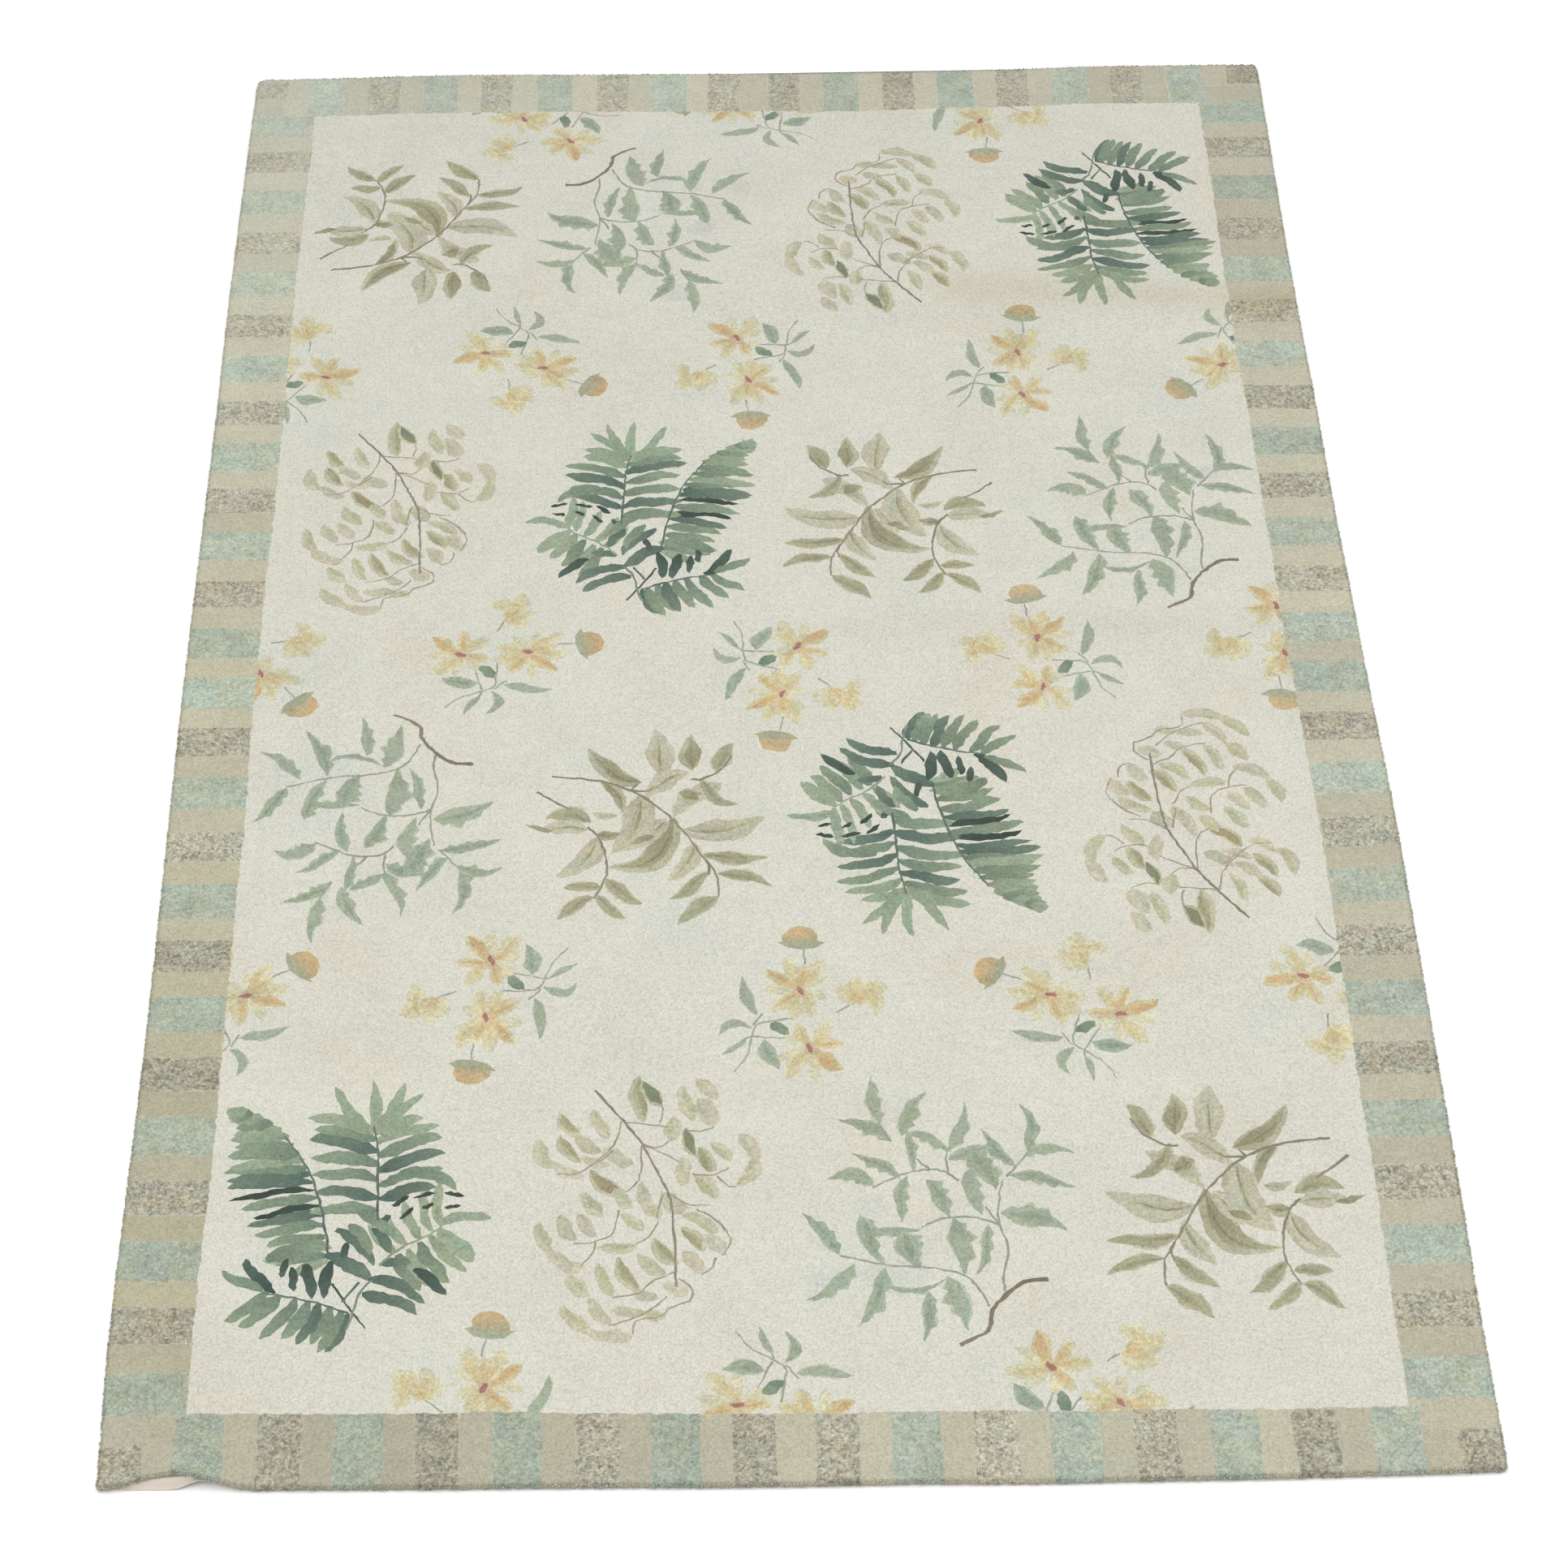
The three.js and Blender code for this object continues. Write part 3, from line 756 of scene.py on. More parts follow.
SIDE_PETALS = (
    (60, 0, 50, 31, 15, 0.16, "cream"), (88, 22, 102, 34, 14, -0.1, "cream"),
    (62, 0, 70, 42, 19, 0.08, "straw"), (66, 2, 94, 38, 22, -0.06, "straw"),
    (80, 30, 89, -18, 17, 0.1, "straw"), (64, 2, 78, 24, 14, 0.05, "gold"),
)
BUD_DOME = [(-21, 94), (-20, 106), (-12, 118), (2, 122), (16, 119), (23, 108), (22, 94)]
BUD_CUP = [(-27, 97), (-12, 99), (8, 97), (20, 99), (31, 96), (20, 88), (4, 85), (-14, 88)]


def daisy(d):
    """Two open heads, one in side view, a bud on top and twigs on the left."""
    for route in DAISY_STEMS:
        d.stem(route, 2.6, 2.1, "twig_pale")
    for x, y, tip_x, tip_y, width, bow, dress in DAISY_LEAVES:
        d.leaf((x, y), (tip_x, tip_y), width, bow, dress, "lance")
    for x, y, tip_x, tip_y, width, bow, dress in SIDE_PETALS:
        d.leaf((x, y), (tip_x, tip_y), width, bow, dress, "petal")
    for head, tip_x, tip_y, width, bow, dress in DAISY_PETALS:
        d.leaf(DAISY_HEADS[head], (tip_x, tip_y), width, bow, dress, "petal")
    for x, y in DAISY_HEADS:
        d.leaf((x - 4, y + 8), (x + 4, y - 12), 12, 0, "blush", "oval")
        d.leaf((x - 3, y + 5), (x + 3, y - 10), 6, 0, "madder", "oval")
    d.add(BUD_DOME, ("bud_green", "rust"), ((0, 96), (2, 116)))
    d.add(BUD_CUP, ("sage", "bud_green"), ((0, 86), (0, 100)), 0.25)


# ------------------------------------------------------------------ places on the field
SPRIG_COLUMNS = (-502, -168, 168, 504)
SPRIG_ROWS = (-861, -287, 262, 853)
SPRIGS = (
    # column, row, kind, turn, mirrored
    (0, 0, fern, 0, False), (1, 0, pale, 0, False), (2, 0, sage, 0, False), (3, 0, olive, 0, False),
    (0, 1, sage, 180, True), (1, 1, olive, 0, True), (2, 1, fern, 180, False), (3, 1, pale, 180, False),
    (0, 2, pale, 0, False), (1, 2, fern, 0, True), (2, 2, olive, 0, False), (3, 2, sage, 0, False),
    (0, 3, olive, 180, False), (1, 3, sage, 180, False), (2, 3, pale, 180, False), (3, 3, fern, 180, False),
)
SPRAYS = (
    # x, y, turn, mirrored
    (-333, 1098, 60, True), (-14, 1140, 90, False), (334, 1117, 180, True), (-673, 571, 57, False),
    (-329, 566, -117, False), (-24, 552, -177, False), (355, 557, -6, False), (659, 555, 126, True),
    (-678, -6, 222, True), (-341, 7, -81, True), (12, -45, 171, True), (346, 4, 6, True),
    (663, 9, 174, False), (-666, -562, -57, True), (-356, -566, 171, False), (16, -572, 0, False),
    (334, -572, 63, False), (675, -573, -126, False), (-347, -1120, -6, True), (-4, -1137, -111, False),
    (333, -1116, -117, True),
)
SPRAY_SEED, SPRIG_SEED = 100, 200
ART_HALF = (690, 1165)  # the artwork is cut here, well under the border


def held_within(value, limit):
    return min(limit, max(-limit, value))


def placed(kind, x, y, turn, mirrored, seed):
    """A sprig or spray, mirrored and then turned, with its middle at x, y."""
    d = Drawing(seed)
    kind(d)
    c, s = math.cos(math.radians(turn)), math.sin(math.radians(turn))

    def put(p):
        px = -p[0] if mirrored else p[0]
        return x + c * px - s * p[1], y + s * px + c * p[1]

    for shape in d.shapes:
        shape.outline = [put(p) for p in shape.outline]
        if mirrored:
            shape.outline.reverse()
        shape.axis = tuple(put(p) for p in shape.axis)
    return d.shapes


def artwork():
    """Every sprig and spray on the field, the sprigs over the sprays."""
    shapes = []
    for k, (x, y, turn, mirrored) in enumerate(SPRAYS):
        shapes += placed(daisy, x, y, turn, mirrored, SPRAY_SEED + k)
    for k, (column, row, kind, turn, mirrored) in enumerate(SPRIGS):
        shapes += placed(kind, SPRIG_COLUMNS[column], SPRIG_ROWS[row], turn, mirrored, SPRIG_SEED + k)
    half_w, half_l = ART_HALF
    for shape in shapes:
        shape.outline = [(held_within(x, half_w), held_within(y, half_l)) for x, y in shape.outline]
    return shapes


# ------------------------------------------------------------------ the striped border
FIELD_LEFT, FIELD_RIGHT = -669, 666.5
FIELD_FRONT = (-1128, -1139.5)  # at the left and at the right corner
FIELD_BACK = 1126.5

# Middles of the grey stripes: across the two ends, and from front to back along the two sides.
GREY_ACROSS = (21, 196, 367, 542, 712, 802, 975, 1149, 1323, 1500)
GREY_ALONG = (26, 204, 376, 552, 730, 903, 1079, 1342, 1519, 1693, 1873, 2053, 2238, 2409)
MIDDLE_AQUAS = (1164, 1252)
GREY_WIDTH, AQUA_WIDTH = 48, 54
AQUA_GAP = (150, 220)  # two grey stripes this far apart have an aqua one midway
EDGE_STEP = 7
STRIPE_SLANT = 1.6  # how far a stripe may slip sideways at the field's edge
BORDER_WANDER = 1.5
BORDER_TINT = 0.03
BORDER_LIGHT_AND_FADE_DEPTH = 0.45
BORDER_LIGHT_AND_FADE_ENDS = (0.06, 0.94)  # the shares of the length where the front's and back's painted light and fading give way
# Painted light and shade on the border, with some fading of its wool: how much lighter or darker it is,
# from left to right and from front to back.
BORDER_LIGHT_AND_FADE = {
    "front": (-0.07, -0.11, -0.05, 0.06, 0.04, 0.0),
    "back": (0.05, 0.08, 0.12, 0.06, 0.02, -0.02),
    "left": (-0.07, -0.07, 0.07, 0.06, 0.08, 0.06),
    "right": (-0.04, 0.01, 0.05, 0.05, 0.02, -0.02),
}
HEATHER = {"grey": 1.0, "aqua": 0.5, "beige": 0.16}


def field_edge(side, place):
    """The field's wandering edge; place runs across for front and back, and along for the sides."""
    turn = len(side)
    wander = 1.4 * math.sin(place / 97 + turn) + 0.9 * math.sin(place / 41 + 2 * turn)
    if side == "front":
        return FIELD_FRONT[0] + (FIELD_FRONT[1] - FIELD_FRONT[0]) * (place / WIDTH + 0.5) + wander
    return {"back": FIELD_BACK, "left": FIELD_LEFT, "right": FIELD_RIGHT}[side] + wander


def border_light_and_fade(x, y):
    """The border's painted light and shade, with its fading, at a place of the plan."""
    u, v = min(1, max(0, x / WIDTH + 0.5)), min(1, max(0, y / LENGTH + 0.5))
    if v < BORDER_LIGHT_AND_FADE_ENDS[0]:
        return along_table(BORDER_LIGHT_AND_FADE["front"], u)
    if v > BORDER_LIGHT_AND_FADE_ENDS[1]:
        return along_table(BORDER_LIGHT_AND_FADE["back"], u)
    return along_table(BORDER_LIGHT_AND_FADE["left" if u < 0.5 else "right"], v)


def stripe_runs(greys, total, extra_aquas=()):
    """(start, end, yarn) of each stripe from one corner to the other."""
    middles = [(g, GREY_WIDTH, "grey") for g in greys]
    middles += [(m, AQUA_WIDTH, "aqua") for m in extra_aquas]
    for a, b in zip(greys, greys[1:]):
        if AQUA_GAP[0] < b - a < AQUA_GAP[1]:
            middles.append(((a + b) / 2, AQUA_WIDTH, "aqua"))
    runs = []
    reached = 0
    for middle, width, yarn in sorted(middles):
        start, end = max(0, middle - width / 2), min(total, middle + width / 2)
        if start > reached:
            runs.append((reached, start, "beige"))
        runs.append((start, end, yarn))
        reached = end
    if reached < total:
        runs.append((reached, total, "beige"))
    return runs


def box(x0, y0, x1, y1):
    """The corners of an upright oblong."""
    return [(x0, y0), (x1, y0), (x1, y1), (x0, y1)]


def border(rnd):
    """The beige ground, the stripes out to the field's edge, and the corner squares over them."""
    shapes = []

    def wander(place, rim):
        """A place moved a little, unless it is on the rug's own rim."""
        return place if abs(place) > rim - 1 else place + rnd.uniform(-BORDER_WANDER, BORDER_WANDER)

    def patch(corners, yarn, tint=BORDER_TINT):
        """A four-cornered patch whose sides wander by about a loop."""
        outline = []
        for (ax, ay), (bx, by) in zip(corners, corners[1:] + corners[:1]):
            n = max(1, round(math.dist((ax, ay), (bx, by)) / EDGE_STEP))
            outline += [(ax + (bx - ax) * k / n, ay + (by - ay) * k / n) for k in range(n)]
        # The beige turns golden towards the front left and the aqua blue towards the right, and all
        # yarns have faded towards the far left.
        tone = YARN[yarn]
        x = corners[0][0]
        middle = (corners[0][1] + corners[2][1]) / 2
        if yarn == "beige":
            nearness = smooth(0.5 - middle / LENGTH)
            leftness = smooth(0.5 - x / WIDTH)
            gold = 0.9 * nearness * (0.3 + 0.7 * leftness) if middle > FIELD_FRONT[0] else 0.25
            tone = mix(tone, YARN["beige_gold"], gold * rnd.uniform(0.6, 1.2))
        if yarn == "aqua":
            tone = mix(tone, YARN["aqua_blue"], smooth(0.5 + x / WIDTH) * 0.8)
        far = smooth(1.6 * middle / LENGTH - 0.1)
        left_end = smooth(0.9 - 1.6 * (x / WIDTH + 0.5))
        tone = mix(tone, YARN["faded"], 0.5 * far * left_end)
        # painted light and shade on the border, with some fading, and a small random tint
        shade = 1 + BORDER_LIGHT_AND_FADE_DEPTH * border_light_and_fade((x + corners[2][0]) / 2, middle) + rnd.uniform(-tint, tint)
        tone = tuple(c * shade for c in tone)
        wandered = [(wander(px, WIDTH / 2), wander(py, LENGTH / 2)) for px, py in outline]
        if clockwise(outline):
            wandered.reverse()
        heather = HEATHER[yarn] * (1 - far * (0.25 + 0.35 * left_end))
        shapes.append(Shape(wandered, (tone, tone), corners[:2], heather))

    def stripe(side, rim, a, b, yarn):
        """One stripe, from the rug's rim to the field's edge."""
        slant = rnd.uniform(-STRIPE_SLANT, STRIPE_SLANT)
        inner = [(field_edge(side, a), a + slant), (field_edge(side, b), b + slant)]
        corners = [(rim, a), *inner, (rim, b)]
        if side in ("front", "back"):
            corners = [(x, y) for y, x in corners]
        patch(corners, yarn)

    half_w, half_l = WIDTH / 2, LENGTH / 2
    front = [(-half_w, -half_l), (half_w, -half_l), (half_w, FIELD_FRONT[1]), (-half_w, FIELD_FRONT[0])]
    patch(front, "beige", 0)
    patch(box(-half_w, FIELD_BACK, half_w, half_l), "beige", 0)
    patch(box(-half_w, -half_l, FIELD_LEFT, half_l), "beige", 0)
    patch(box(FIELD_RIGHT, -half_l, half_w, half_l), "beige", 0)
    across_runs = stripe_runs(GREY_ACROSS, WIDTH)
    along_runs = stripe_runs(GREY_ALONG, LENGTH, MIDDLE_AQUAS)
    for start, end, yarn in along_runs:
        stripe("left", -half_w, start - half_l, end - half_l, yarn)
        stripe("right", half_w, start - half_l, end - half_l, yarn)
    for start, end, yarn in across_runs[1:-1]:
        stripe("front", -half_l, start - half_w, end - half_w, yarn)
        stripe("back", half_l, start - half_w, end - half_w, yarn)
    ends_across = ((-half_w, across_runs[1][1] - half_w), (half_w, across_runs[-2][0] - half_w))
    ends_along = ((-half_l, along_runs[1][1] - half_l), (half_l, along_runs[-2][0] - half_l))
    for x0, x1 in ends_across:
        for y0, y1 in ends_along:
            patch(box(x0, y0, x1, y1), "beige")
            x2, y2 = x0 + math.copysign(GREY_WIDTH, -x0), y0 + math.copysign(GREY_WIDTH, -y0)
            patch(box(x0, y0, x2, y2), "grey")
    return shapes


# ------------------------------------------------------------------ colouring a mesh from the drawing
class Colouring:
    """Finds the yarn on top at each place of the plan."""

    def __init__(self, shapes):
        self.outlines = [np.array(s.outline) for s in shapes]
        # The bare field stands last, where the number -1 finds it.
        field = Shape([], (YARN["ivory"], YARN["ivory"]), ((0, 0), (1, 0)), FIELD_HEATHER)
        self.tones = np.array([s.tones for s in [*shapes, field]], float)
        self.axes = np.array([s.axis for s in [*shapes, field]], float)
        self.heather = np.array([s.heather for s in [*shapes, field]], float)

    def on_top(self, places):
        """The number of the topmost shape at each place, or -1 on the bare field."""
        order = np.argsort(places[:, 1], kind="stable")
        x, y = places[order, 0], places[order, 1]
        found = np.full(len(places), -1)
        for number, outline in enumerate(self.outlines):
            low, high = outline.min(0), outline.max(0)
            first, last = np.searchsorted(y, (low[1], high[1]))
            if first == last:
                continue
            near = first + np.nonzero((x[first:last] >= low[0]) & (x[first:last] <= high[0]))[0]
            if not len(near):
                continue
            px, py = x[near], y[near]
            inside = np.zeros(len(near), bool)
            for (ax, ay), (bx, by) in zip(outline, np.roll(outline, -1, axis=0)):
                if ay == by:
                    continue
                crosses = (ay > py) != (by > py)
                inside ^= crosses & (px < (bx - ax) * (py - ay) / (by - ay) + ax)
            found[near[inside]] = number
        result = np.empty(len(places), int)
        result[order] = found
        return result

    def yarn(self, numbers, places):
        """Linear RGB, with the heathering as alpha, of those shapes at those places."""
        start, end = self.tones[numbers, 0], self.tones[numbers, 1]
        base = self.axes[numbers, 0]
        run = self.axes[numbers, 1] - base
        share = ((places - base) * run).sum(1) / np.maximum((run * run).sum(1), 1e-6)
        rgb = (start + (end - start) * np.clip(share, 0, 1)[:, None]) / 255
        linear = np.where(rgb <= 0.04045, rgb / 12.92, ((rgb + 0.055) / 1.055) ** 2.4)
        return np.concatenate([linear, self.heather[numbers, None]], axis=1)


def held_inside(places, gap=0):
    """Those places of the plan, held at least that far inside the rug's edge."""
    return np.clip(places, gap - HALF, HALF - gap)


def store_yarn(mesh, colours):
    """Gives each face corner its colour and heathering."""
    layer = mesh.color_attributes.new("yarn", "FLOAT_COLOR", "CORNER")
    layer.data.foreach_set("color", np.ascontiguousarray(colours, np.float32).ravel())


# ------------------------------------------------------------------ the wool pile
RING_STEP = 8
GRID_STEP = 30
GRID_GAP = 6  # between the innermost ring and the grid
ARCH_STEP = 8
ARCH_GRID_SHIFT = (1.3, 0.7)  # keeps the arch's fine places off the grid's lines
MERGE = 0.12  # places closer than this become one
SLIVER = 1e-9  # triangles with less than half this area are left out
ON_EDGE = 1e-6
WALL_READ = 1  # the wall takes its yarn from this far inside the edge


def rectangle(inset, step):
    """Points round the sheet at that distance from its edge."""
    wide, long = WIDTH - 2 * inset, LENGTH - 2 * inset
    n, m = round(WIDTH / step), round(LENGTH / step)
    points = [(inset + wide * k / n, inset) for k in range(n)]
    points += [(WIDTH - inset, inset + long * k / m) for k in range(m)]
    points += [(WIDTH - inset - wide * k / n, LENGTH - inset) for k in range(n)]
    points += [(inset, LENGTH - inset - long * k / m) for k in range(m)]
    return [(x - WIDTH / 2, y - LENGTH / 2) for x, y in points]


def grid_places(step):
    """An even grid over the sheet, with more places under the arch."""
    places = []
    edge = RIM[-1][0] + GRID_GAP
    n, m = round((WIDTH - 2 * edge) / step), round((LENGTH - 2 * edge) / step)
    for i in range(n + 1):
        for j in range(m + 1):
            places.append((edge + (WIDTH - 2 * edge) * i / n, edge + (LENGTH - 2 * edge) * j / m))
    across = ARCH["across"] - ARCH["half_span"]
    while across <= ARCH["across"] + ARCH["half_span"]:
        along = edge
        while along <= ARCH["reach"]:
            places.append((across + ARCH_GRID_SHIFT[0], along + ARCH_GRID_SHIFT[1]))
            along += ARCH_STEP
        across += ARCH_STEP
    return [(x - WIDTH / 2, y - LENGTH / 2) for x, y in places]


def triangulate(loops, places, kept=None):
    """Triangles over the whole sheet that keep every loop's line, all in millimetres on the plan.

    What is kept besides the loops is a pair: an array of places, and edges between them.
    """
    points, edges = [], []
    if kept:
        used, renumbered = np.unique(kept[1], return_inverse=True)
        points = [Vector(p) for p in kept[0][used]]
        edges = [tuple(e) for e in renumbered.reshape(-1, 2).tolist()]
    for loop in loops:
        first = len(points)
        points += [Vector(p) for p in loop]
        edges += [(first + k, first + (k + 1) % len(loop)) for k in range(len(loop))]
    points += [Vector(p) for p in places]
    found, _, faces, _, _, _ = delaunay_2d_cdt(points, edges, [], 0, MERGE, False)
    flat = np.array(found, float)
    corners = np.array(faces, int)
    a, b, c = flat[corners[:, 0]], flat[corners[:, 1]], flat[corners[:, 2]]
    area = (b[:, 0] - a[:, 0]) * (c[:, 1] - a[:, 1]) - (b[:, 1] - a[:, 1]) * (c[:, 0] - a[:, 0])
    corners[area < 0] = corners[area < 0][:, ::-1]
    return flat, corners[np.abs(area) > SLIVER]


def seen_lines(faces, numbers):
    """The triangles' edges with a different yarn on each side: the only lines that show."""
    edges = np.sort(np.concatenate([faces[:, [0, 1]], faces[:, [1, 2]], faces[:, [2, 0]]]), axis=1)
    owner = np.tile(np.arange(len(faces)), 3)
    order = np.lexsort((edges[:, 1], edges[:, 0]))
    edges, owner = edges[order], owner[order]
    same = np.nonzero((edges[1:] == edges[:-1]).all(1))[0]
    differs = numbers[owner[same]] != numbers[owner[same + 1]]
    return edges[same[differs]]


def outer_ring(flat):
    """The places on the sheet's very edge, in order along each side."""
    gap = (HALF - np.abs(flat)).min(1)
    ring = flat[gap < ON_EDGE]
    x, y = ring.T
    front, right, back = y == -HALF[1], x == HALF[0], y == HALF[1]
    way = np.where(back, 2 * WIDTH + LENGTH - x, 2 * (WIDTH + LENGTH) - y)
    way = np.where(front, x, np.where(right, WIDTH + y, way))
    return [tuple(p) for p in ring[np.argsort(way)].tolist()]


def stand_up(flat, face):
    """The plan's places moved to the rug's own outline and height, in metres."""
    points = []
    for x, y in flat:
        across = min(WIDTH, max(0, x + WIDTH / 2))
        along = min(LENGTH, max(0, y + LENGTH / 2))
        px, py = wool_point(across, along)
        points.append((px * MM, py * MM, pile_height(across, along, face) * MM))
    return points


def wool_pile(shapes, colouring):
    """The pile as one closed sheet, its top cut along every line where two yarns meet."""
    rings = [rectangle(r[0], RING_STEP) for r in RIM]
    draft, draft_faces = triangulate(rings + [s.outline for s in shapes], [])
    draft_numbers = colouring.on_top(draft[draft_faces].mean(1))
    lines = seen_lines(draft_faces, draft_numbers)
    top, top_faces = triangulate(rings, grid_places(GRID_STEP), (draft, lines))
    under, under_faces = triangulate([outer_ring(top)] + rings[1:], grid_places(2 * GRID_STEP))
    bm = bmesh.new()
    for flat, faces, face in ((top, top_faces, OVER), (under, under_faces[:, ::-1], UNDER)):
        verts = [bm.verts.new(p) for p in stand_up(flat, face)]
        for corners in faces:
            bm.faces.new([verts[c] for c in corners])
    bmesh.ops.bridge_loops(bm, edges=[e for e in bm.edges if e.is_boundary])
    for face in bm.faces:
        face.smooth = True
    mesh = mesh_of(bm, "wool_pile")

    places = np.concatenate([top, under])
    corner_vertex = np.empty(len(mesh.loops), int)
    mesh.loops.foreach_get("vertex_index", corner_vertex)
    sides = np.empty(len(mesh.polygons), int)
    mesh.polygons.foreach_get("loop_total", sides)
    owner = np.repeat(np.arange(len(sides)), sides)
    corner_places = places[corner_vertex]
    middles = np.zeros((len(sides), 2))
    np.add.at(middles, owner, corner_places)
    middles /= sides[:, None]
    numbers = colouring.on_top(held_inside(middles, WALL_READ))
    store_yarn(mesh, colouring.yarn(numbers[owner], corner_places))
    return show("wool_pile", mesh)


# ------------------------------------------------------------------ loops of the outermost rows
LOOP_PITCH = 3.4
LOOP_READ = 2  # a loop takes its yarn from at least this far inside the edge
LOOP_SHAPE = (0.95, 0.8, 1.15)  # along the edge, outwards and up
# How far a loop strays along the edge, outwards, upwards and in size.
LOOP_SLIDE, LOOP_OUT, LOOP_RISE, LOOP_GROWTH = (-1.2, 1.2), (-0.9, 1.0), (-0.3, 0.5), (0.78, 1.2)
# Each row: distance from the edge, share of the height, radius of a loop.
LOOP_ROWS = ((0.9, 0.05, 1.5), (0.2, 0.27, 1.6), (0.3, 0.54, 1.7), (1.6, 0.80, 1.7))


def rim_loops(colouring, rnd):
    """Small yarn loops round the edge, so that the outline is wool and not a cut line."""
    bm = bmesh.new()
    bmesh.ops.create_icosphere(bm, subdivisions=1, radius=1)
    ball = np.array([v.co[:] for v in bm.verts])
    ball_faces = np.array([[v.index for v in f.verts] for f in bm.faces])
    bm.free()
    points, places = [], []
    for inset, share, radius in LOOP_ROWS:
        row = rectangle(inset, LOOP_PITCH)
        for k, (x, y) in enumerate(row):
            bx, by = row[(k + 1) % len(row)]
            along_edge = np.array([bx - x, by - y]) / max(1e-6, math.dist((x, y), (bx, by)))
            outward = np.array([along_edge[1], -along_edge[0]])
            slide = rnd.uniform(*LOOP_SLIDE)
            out = rnd.uniform(*LOOP_OUT)
            x, y = held_inside(np.array([x, y]) + along_edge * slide)
            px, py = wool_point(x + HALF[0], y + HALF[1])
            z = PILE_UNDERSIDE + arch_lift(x + HALF[0], y + HALF[1]) + PILE_THICKNESS * share
            z += rnd.uniform(*LOOP_RISE)
            size = radius * rnd.uniform(*LOOP_GROWTH)
            u, v, w = (ball * [size * part for part in LOOP_SHAPE]).T
            turned = [p + n * out + u * e + v * n for p, e, n in zip((px, py), along_edge, outward)]
            points.append(np.column_stack([*turned, z + w]) * MM)
            places.append((x, y))
    count = len(places)
    mesh = bpy.data.meshes.new("rim_loops")
    faces = (ball_faces[None] + (np.arange(count) * len(ball))[:, None, None]).reshape(-1, 3)
    mesh.from_pydata(np.concatenate(points).tolist(), [], faces.tolist())
    mesh.polygons.foreach_set("use_smooth", np.ones(len(mesh.polygons), bool))
    inner = held_inside(np.array(places), LOOP_READ)
    numbers = colouring.on_top(inner)
    store_yarn(mesh, np.repeat(colouring.yarn(numbers, inner), len(ball_faces) * 3, axis=0))
    return show("rim_loops", mesh)


# ------------------------------------------------------------------ the backing cloth
CLOTH_CELLS = (64, 96)
CLOTH_FINE_SHARE = 0.25  # this share of the cells lies in the cloth's first part, where the arch is
CLOTH_FINE = (176, 47)  # how far that part reaches across and along


def cloth_place(share, total, fine_to):
    """How far from the edge the cloth's grid line at that share of its cells lies."""
    if share < CLOTH_FINE_SHARE:
        return BACKING_INSET + (fine_to - BACKING_INSET) * share / CLOTH_FINE_SHARE
    rest = 1 - CLOTH_FINE_SHARE
    return fine_to + (total - BACKING_INSET - fine_to) * (share - CLOTH_FINE_SHARE) / rest


def cotton_cloth():
    bm = bmesh.new()
    bmesh.ops.create_grid(bm, x_segments=CLOTH_CELLS[0], y_segments=CLOTH_CELLS[1], size=1)
    for vert in bm.verts:
        across = cloth_place((vert.co.x + 1) / 2, WIDTH, CLOTH_FINE[0])
        along = cloth_place((vert.co.y + 1) / 2, LENGTH, CLOTH_FINE[1])
        x, y = plan_point(across, along + set_back(across, along) * cloth_right(across))
        vert.co = (x * MM, y * MM, (BACKING_THICKNESS + cloth_lift(across, along)) * MM)
    sheet = bm.faces[:]
    lower = bmesh.ops.extrude_face_region(bm, geom=sheet)["geom"]
    lower_verts = [part for part in lower if isinstance(part, bmesh.types.BMVert)]
    bmesh.ops.translate(bm, verts=lower_verts, vec=(0, 0, -BACKING_THICKNESS * MM))
    bmesh.ops.recalc_face_normals(bm, faces=bm.faces[:])
    return show("cotton_cloth", mesh_of(bm, "cotton_cloth"))


# ------------------------------------------------------------------ finishes
class Recipe:
    """A material's nodes, added one after another."""

    def __init__(self, name):
        self.material = bpy.data.materials.new(name)
        self.material.use_nodes = True
        self.tree = self.material.node_tree
        self.shader = self.tree.nodes["Principled BSDF"]

    def add(self, kind, inputs=None, **settings):
        node = self.tree.nodes.new("ShaderNode" + kind)
        for key, value in settings.items():
            setattr(node, key, value)
        for key, value in (inputs or {}).items():
            if isinstance(value, bpy.types.NodeSocket):
                self.tree.links.new(value, node.inputs[key])
            else:
                node.inputs[key].default_value = value
        return node

    def reckon(self, operation, a, b=0):
        return self.add("Math", {0: a, 1: b}, operation=operation).outputs[0]

    def plus(self, a, b):
        return self.reckon("ADD", a, b)

    def times(self, a, b):
        return self.reckon("MULTIPLY", a, b)

    def vector(self, operation, a, b):
        return self.add("VectorMath", {0: a, 1: b}, operation=operation).outputs[0]

    def noise(self, place, scale, detail, roughness=0.5, distortion=0):
        """Noise round 0.5 at each place."""
        inputs = {"Vector": place, "Scale": scale, "Detail": detail}
        inputs.update({"Roughness": roughness, "Distortion": distortion})
        return self.add("TexNoise", inputs).outputs["Fac"]

    def scaled(self, value, low, high, to_low=0, to_high=1):
        inputs = {"Value": value, "From Min": low, "From Max": high, "To Min": to_low, "To Max": to_high}
        return self.add("MapRange", inputs).outputs["Result"]

    def blend(self, kind, factor, a, b):
        node = self.add("Mix", data_type="RGBA", blend_type=kind)
        for place, value in ((0, factor), (6, a), (7, b)):
            if isinstance(value, bpy.types.NodeSocket):
                self.tree.links.new(value, node.inputs[place])
            else:
                node.inputs[place].default_value = value
        return node.outputs[2]

    def into(self, socket, value):
        self.tree.links.new(value, self.shader.inputs[socket])


LOOP_SIZE = 0.0031  # in metres
LOOP_PUSH = 0.0022  # how far noise moves the loops from their even pattern
WOOL_LIGHT = 0.872
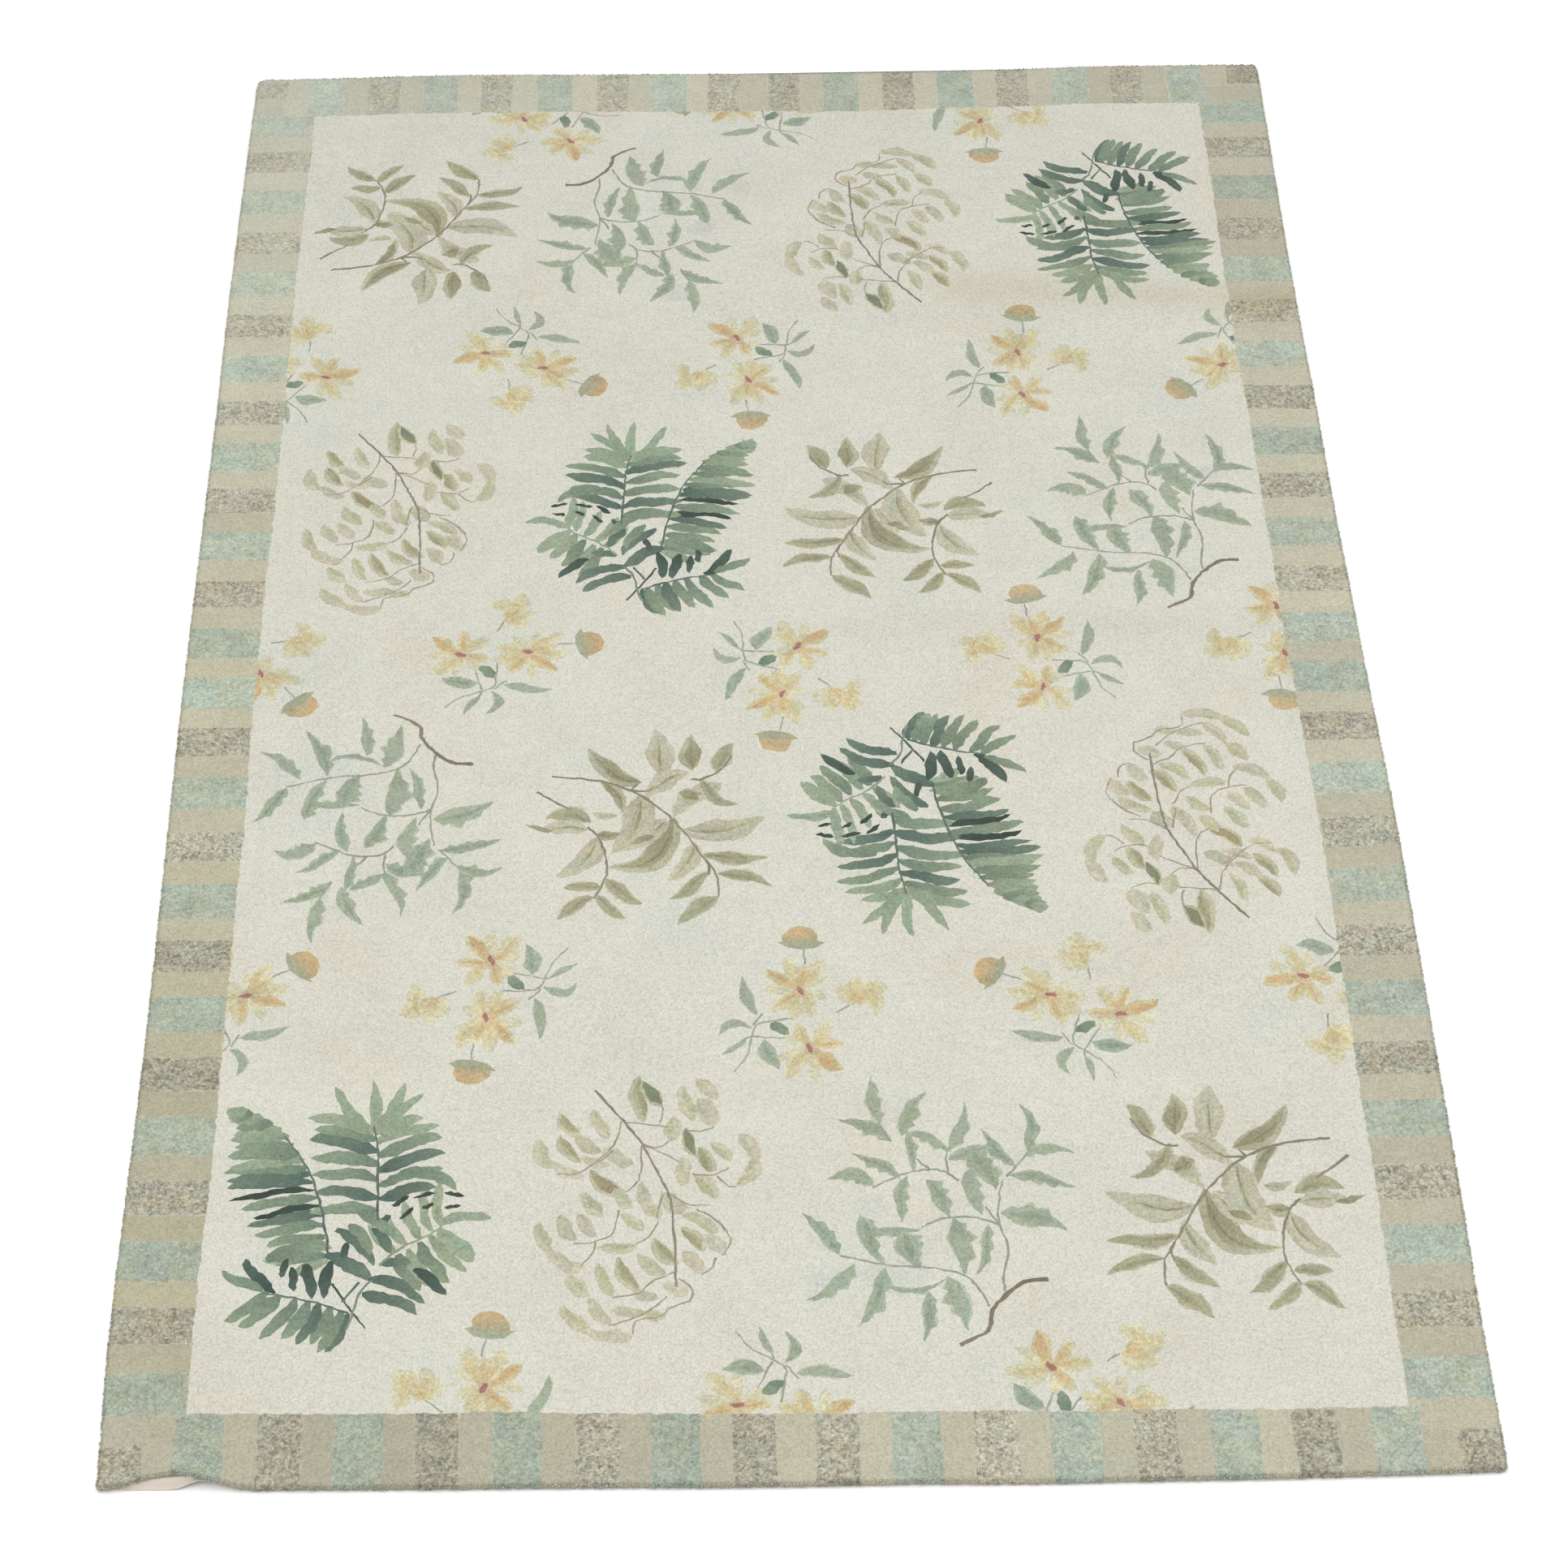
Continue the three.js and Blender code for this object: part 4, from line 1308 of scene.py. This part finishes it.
# Tints that colour is multiplied by.
ROSE = (1, 0.955, 0.92, 1)
MIST = (0.95, 0.985, 0.99, 1)
WARM = (1.02, 1, 0.925, 1)
COOL = (0.94, 1.005, 1.02, 1)
# The tint of the painted shade along the folds' creases.
CREASE_SHADE_TINT = (0.91, 0.865, 0.80, 1)
# Painted shade, warm-tinted, along the creases where the rug was folded: along, slope, half width, where
# each starts and is full, depth.
CREASE_SHADE_BANDS = ((0.735, 0.08, 0.036, 0.20, 0.30, 1), (0.045, 0, 0.03, 0.08, 0.16, 0.12))


def wool_loops():
    """Looped wool: each loop a little lighter or darker, with shadow between the loops."""
    r = Recipe("wool_loops")
    place = r.add("TexCoord").outputs["Object"]
    yarn = r.add("Attribute", attribute_name="yarn")
    heather = yarn.outputs["Alpha"]
    drift = r.add("TexNoise", {"Vector": place, "Scale": 260, "Detail": 1}).outputs["Color"]
    drift = r.vector("SUBTRACT", drift, (0.5, 0.5, 0.5))
    drift = r.add("VectorMath", {0: drift, "Scale": LOOP_PUSH}, operation="SCALE").outputs[0]
    moved = r.vector("ADD", place, drift)
    loops = r.add("TexVoronoi", {"Vector": moved, "Scale": 1 / LOOP_SIZE, "Randomness": 0.85})
    split = r.add("SeparateColor", {"Color": loops.outputs["Color"]})

    # Lightness: heathering, uneven rows, shadow between the loops and clouds, round one base.
    each = r.scaled(split.outputs[0], 0, 1, -1, 1)
    light = r.times(each, r.scaled(heather, 0, 1, 0.03, 0.20))
    squiggle = r.scaled(r.noise(place, 170, 2, distortion=1.2), 0.36, 0.64, -1, 1)
    light = r.plus(light, r.times(squiggle, r.scaled(heather, 0, 1, 0, 0.22)))
    patchy = r.scaled(r.noise(place, 42, 3, 0.6), 0.34, 0.66, -1, 1)
    light = r.plus(light, r.times(patchy, r.scaled(heather, 0.1, 0.4, 0.01, 0.07)))
    long_rows = r.vector("MULTIPLY", place, (16, 130, 16))
    light = r.plus(light, r.scaled(r.noise(long_rows, 1, 2), 0.3, 0.7, -0.012, 0.012))
    light = r.plus(light, r.scaled(loops.outputs["Distance"], 0.30, 0.85, 0, -0.16))
    light = r.plus(light, r.scaled(r.noise(place, 9, 3), 0.3, 0.7, -0.022, 0.022))
    colour = r.blend("MULTIPLY", 1, yarn.outputs["Color"], r.plus(light, WOOL_LIGHT))

    # Tints in wide and in small clouds.
    rose = r.noise(place, 5, 4, 0.6)
    rose_share = r.times(r.scaled(rose, 0.50, 0.68, 0, 0.7), r.scaled(heather, 0.1, 0.5, 1, 0.3))
    shifted = r.vector("ADD", place, (7, 3, 0))
    mist_share = r.scaled(r.noise(shifted, 6.5, 4, 0.6), 0.52, 0.70, 0, 0.7)
    tinge = r.noise(shifted, 30, 3, 0.6)
    tinge_strength = r.scaled(heather, 0.1, 0.4)
    warm_share = r.times(r.scaled(tinge, 0.5, 0.64), tinge_strength)
    cool_share = r.times(r.scaled(tinge, 0.5, 0.36), tinge_strength)
    tints = ((rose_share, ROSE), (mist_share, MIST), (warm_share, WARM), (cool_share, COOL))
    for share, tint in tints:
        colour = r.blend("MULTIPLY", share, colour, tint)
    x, y, _ = r.add("SeparateXYZ", {"Vector": place}).outputs
    # Painted shade in bands along the folds' creases.
    for along, slope, half_width, start, end, depth in CREASE_SHADE_BANDS:
        off = r.reckon("SUBTRACT", r.plus(y, r.times(x, slope)), along)
        off = r.reckon("DIVIDE", off, half_width)
        share = r.reckon("POWER", 2.718, r.times(r.times(off, off), -1))
        share = r.times(share, r.scaled(x, start, end))
        share = r.times(share, r.scaled(rose, 0.3, 0.6, 0.5, depth))
        colour = r.blend("MULTIPLY", share, colour, CREASE_SHADE_TINT)
    r.into("Base Color", colour)

    height = r.scaled(loops.outputs["Distance"], 0.05, 0.95, 1, 0)
    height = r.plus(height, r.times(r.noise(place, 1400, 1), 0.25))
    height = r.plus(height, r.times(split.outputs[1], 0.35))
    bump = r.add("Bump", {"Height": height, "Strength": 0.75, "Distance": 0.0011})
    r.into("Normal", bump.outputs["Normal"])
    r.shader.inputs["Roughness"].default_value = 0.92
    r.shader.inputs["Specular IOR Level"].default_value = 0.22
    r.shader.inputs["Sheen Weight"].default_value = 0.12
    r.shader.inputs["Sheen Roughness"].default_value = 0.6
    return r.material


THREAD_PITCH = 0.0014  # in metres, of one thread over and one under


def woven_cotton():
    """Plain cream cotton: threads one over, one under."""
    r = Recipe("woven_cotton")
    place = r.add("TexCoord").outputs["Object"]
    x, y, _ = r.add("SeparateXYZ", {"Vector": place}).outputs
    turns = 2 * math.pi / THREAD_PITCH
    warp = r.reckon("SINE", r.times(x, turns))
    weft = r.reckon("SINE", r.times(y, turns))
    weave = r.times(warp, weft)
    tone = r.scaled(r.plus(r.times(weave, 0.12), r.noise(place, 60, 3)), 0.2, 0.9)
    r.into("Base Color", r.blend("MIX", tone, (0.70, 0.62, 0.53, 1), (0.86, 0.79, 0.70, 1)))
    bump = r.add("Bump", {"Height": weave, "Strength": 0.6, "Distance": 0.0003})
    r.into("Normal", bump.outputs["Normal"])
    r.shader.inputs["Roughness"].default_value = 0.9
    r.shader.inputs["Specular IOR Level"].default_value = 0.25
    return r.material


# ------------------------------------------------------------------ the rug
BORDER_SEED, LOOP_SEED = 31, 47

place_camera()
light_the_studio()
floor()

drawn = artwork() + border(random.Random(BORDER_SEED))
colouring = Colouring(drawn)
pile = wool_pile(drawn, colouring)
edge_loops = rim_loops(colouring, random.Random(LOOP_SEED))
cloth = cotton_cloth()

wool = wool_loops()
pile.data.materials.append(wool)
edge_loops.data.materials.append(wool)
cloth.data.materials.append(woven_cotton())

for piece in (pile, edge_loops, cloth):
    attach(piece, "root")
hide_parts("hooked_pile")
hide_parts("backing_cloth")
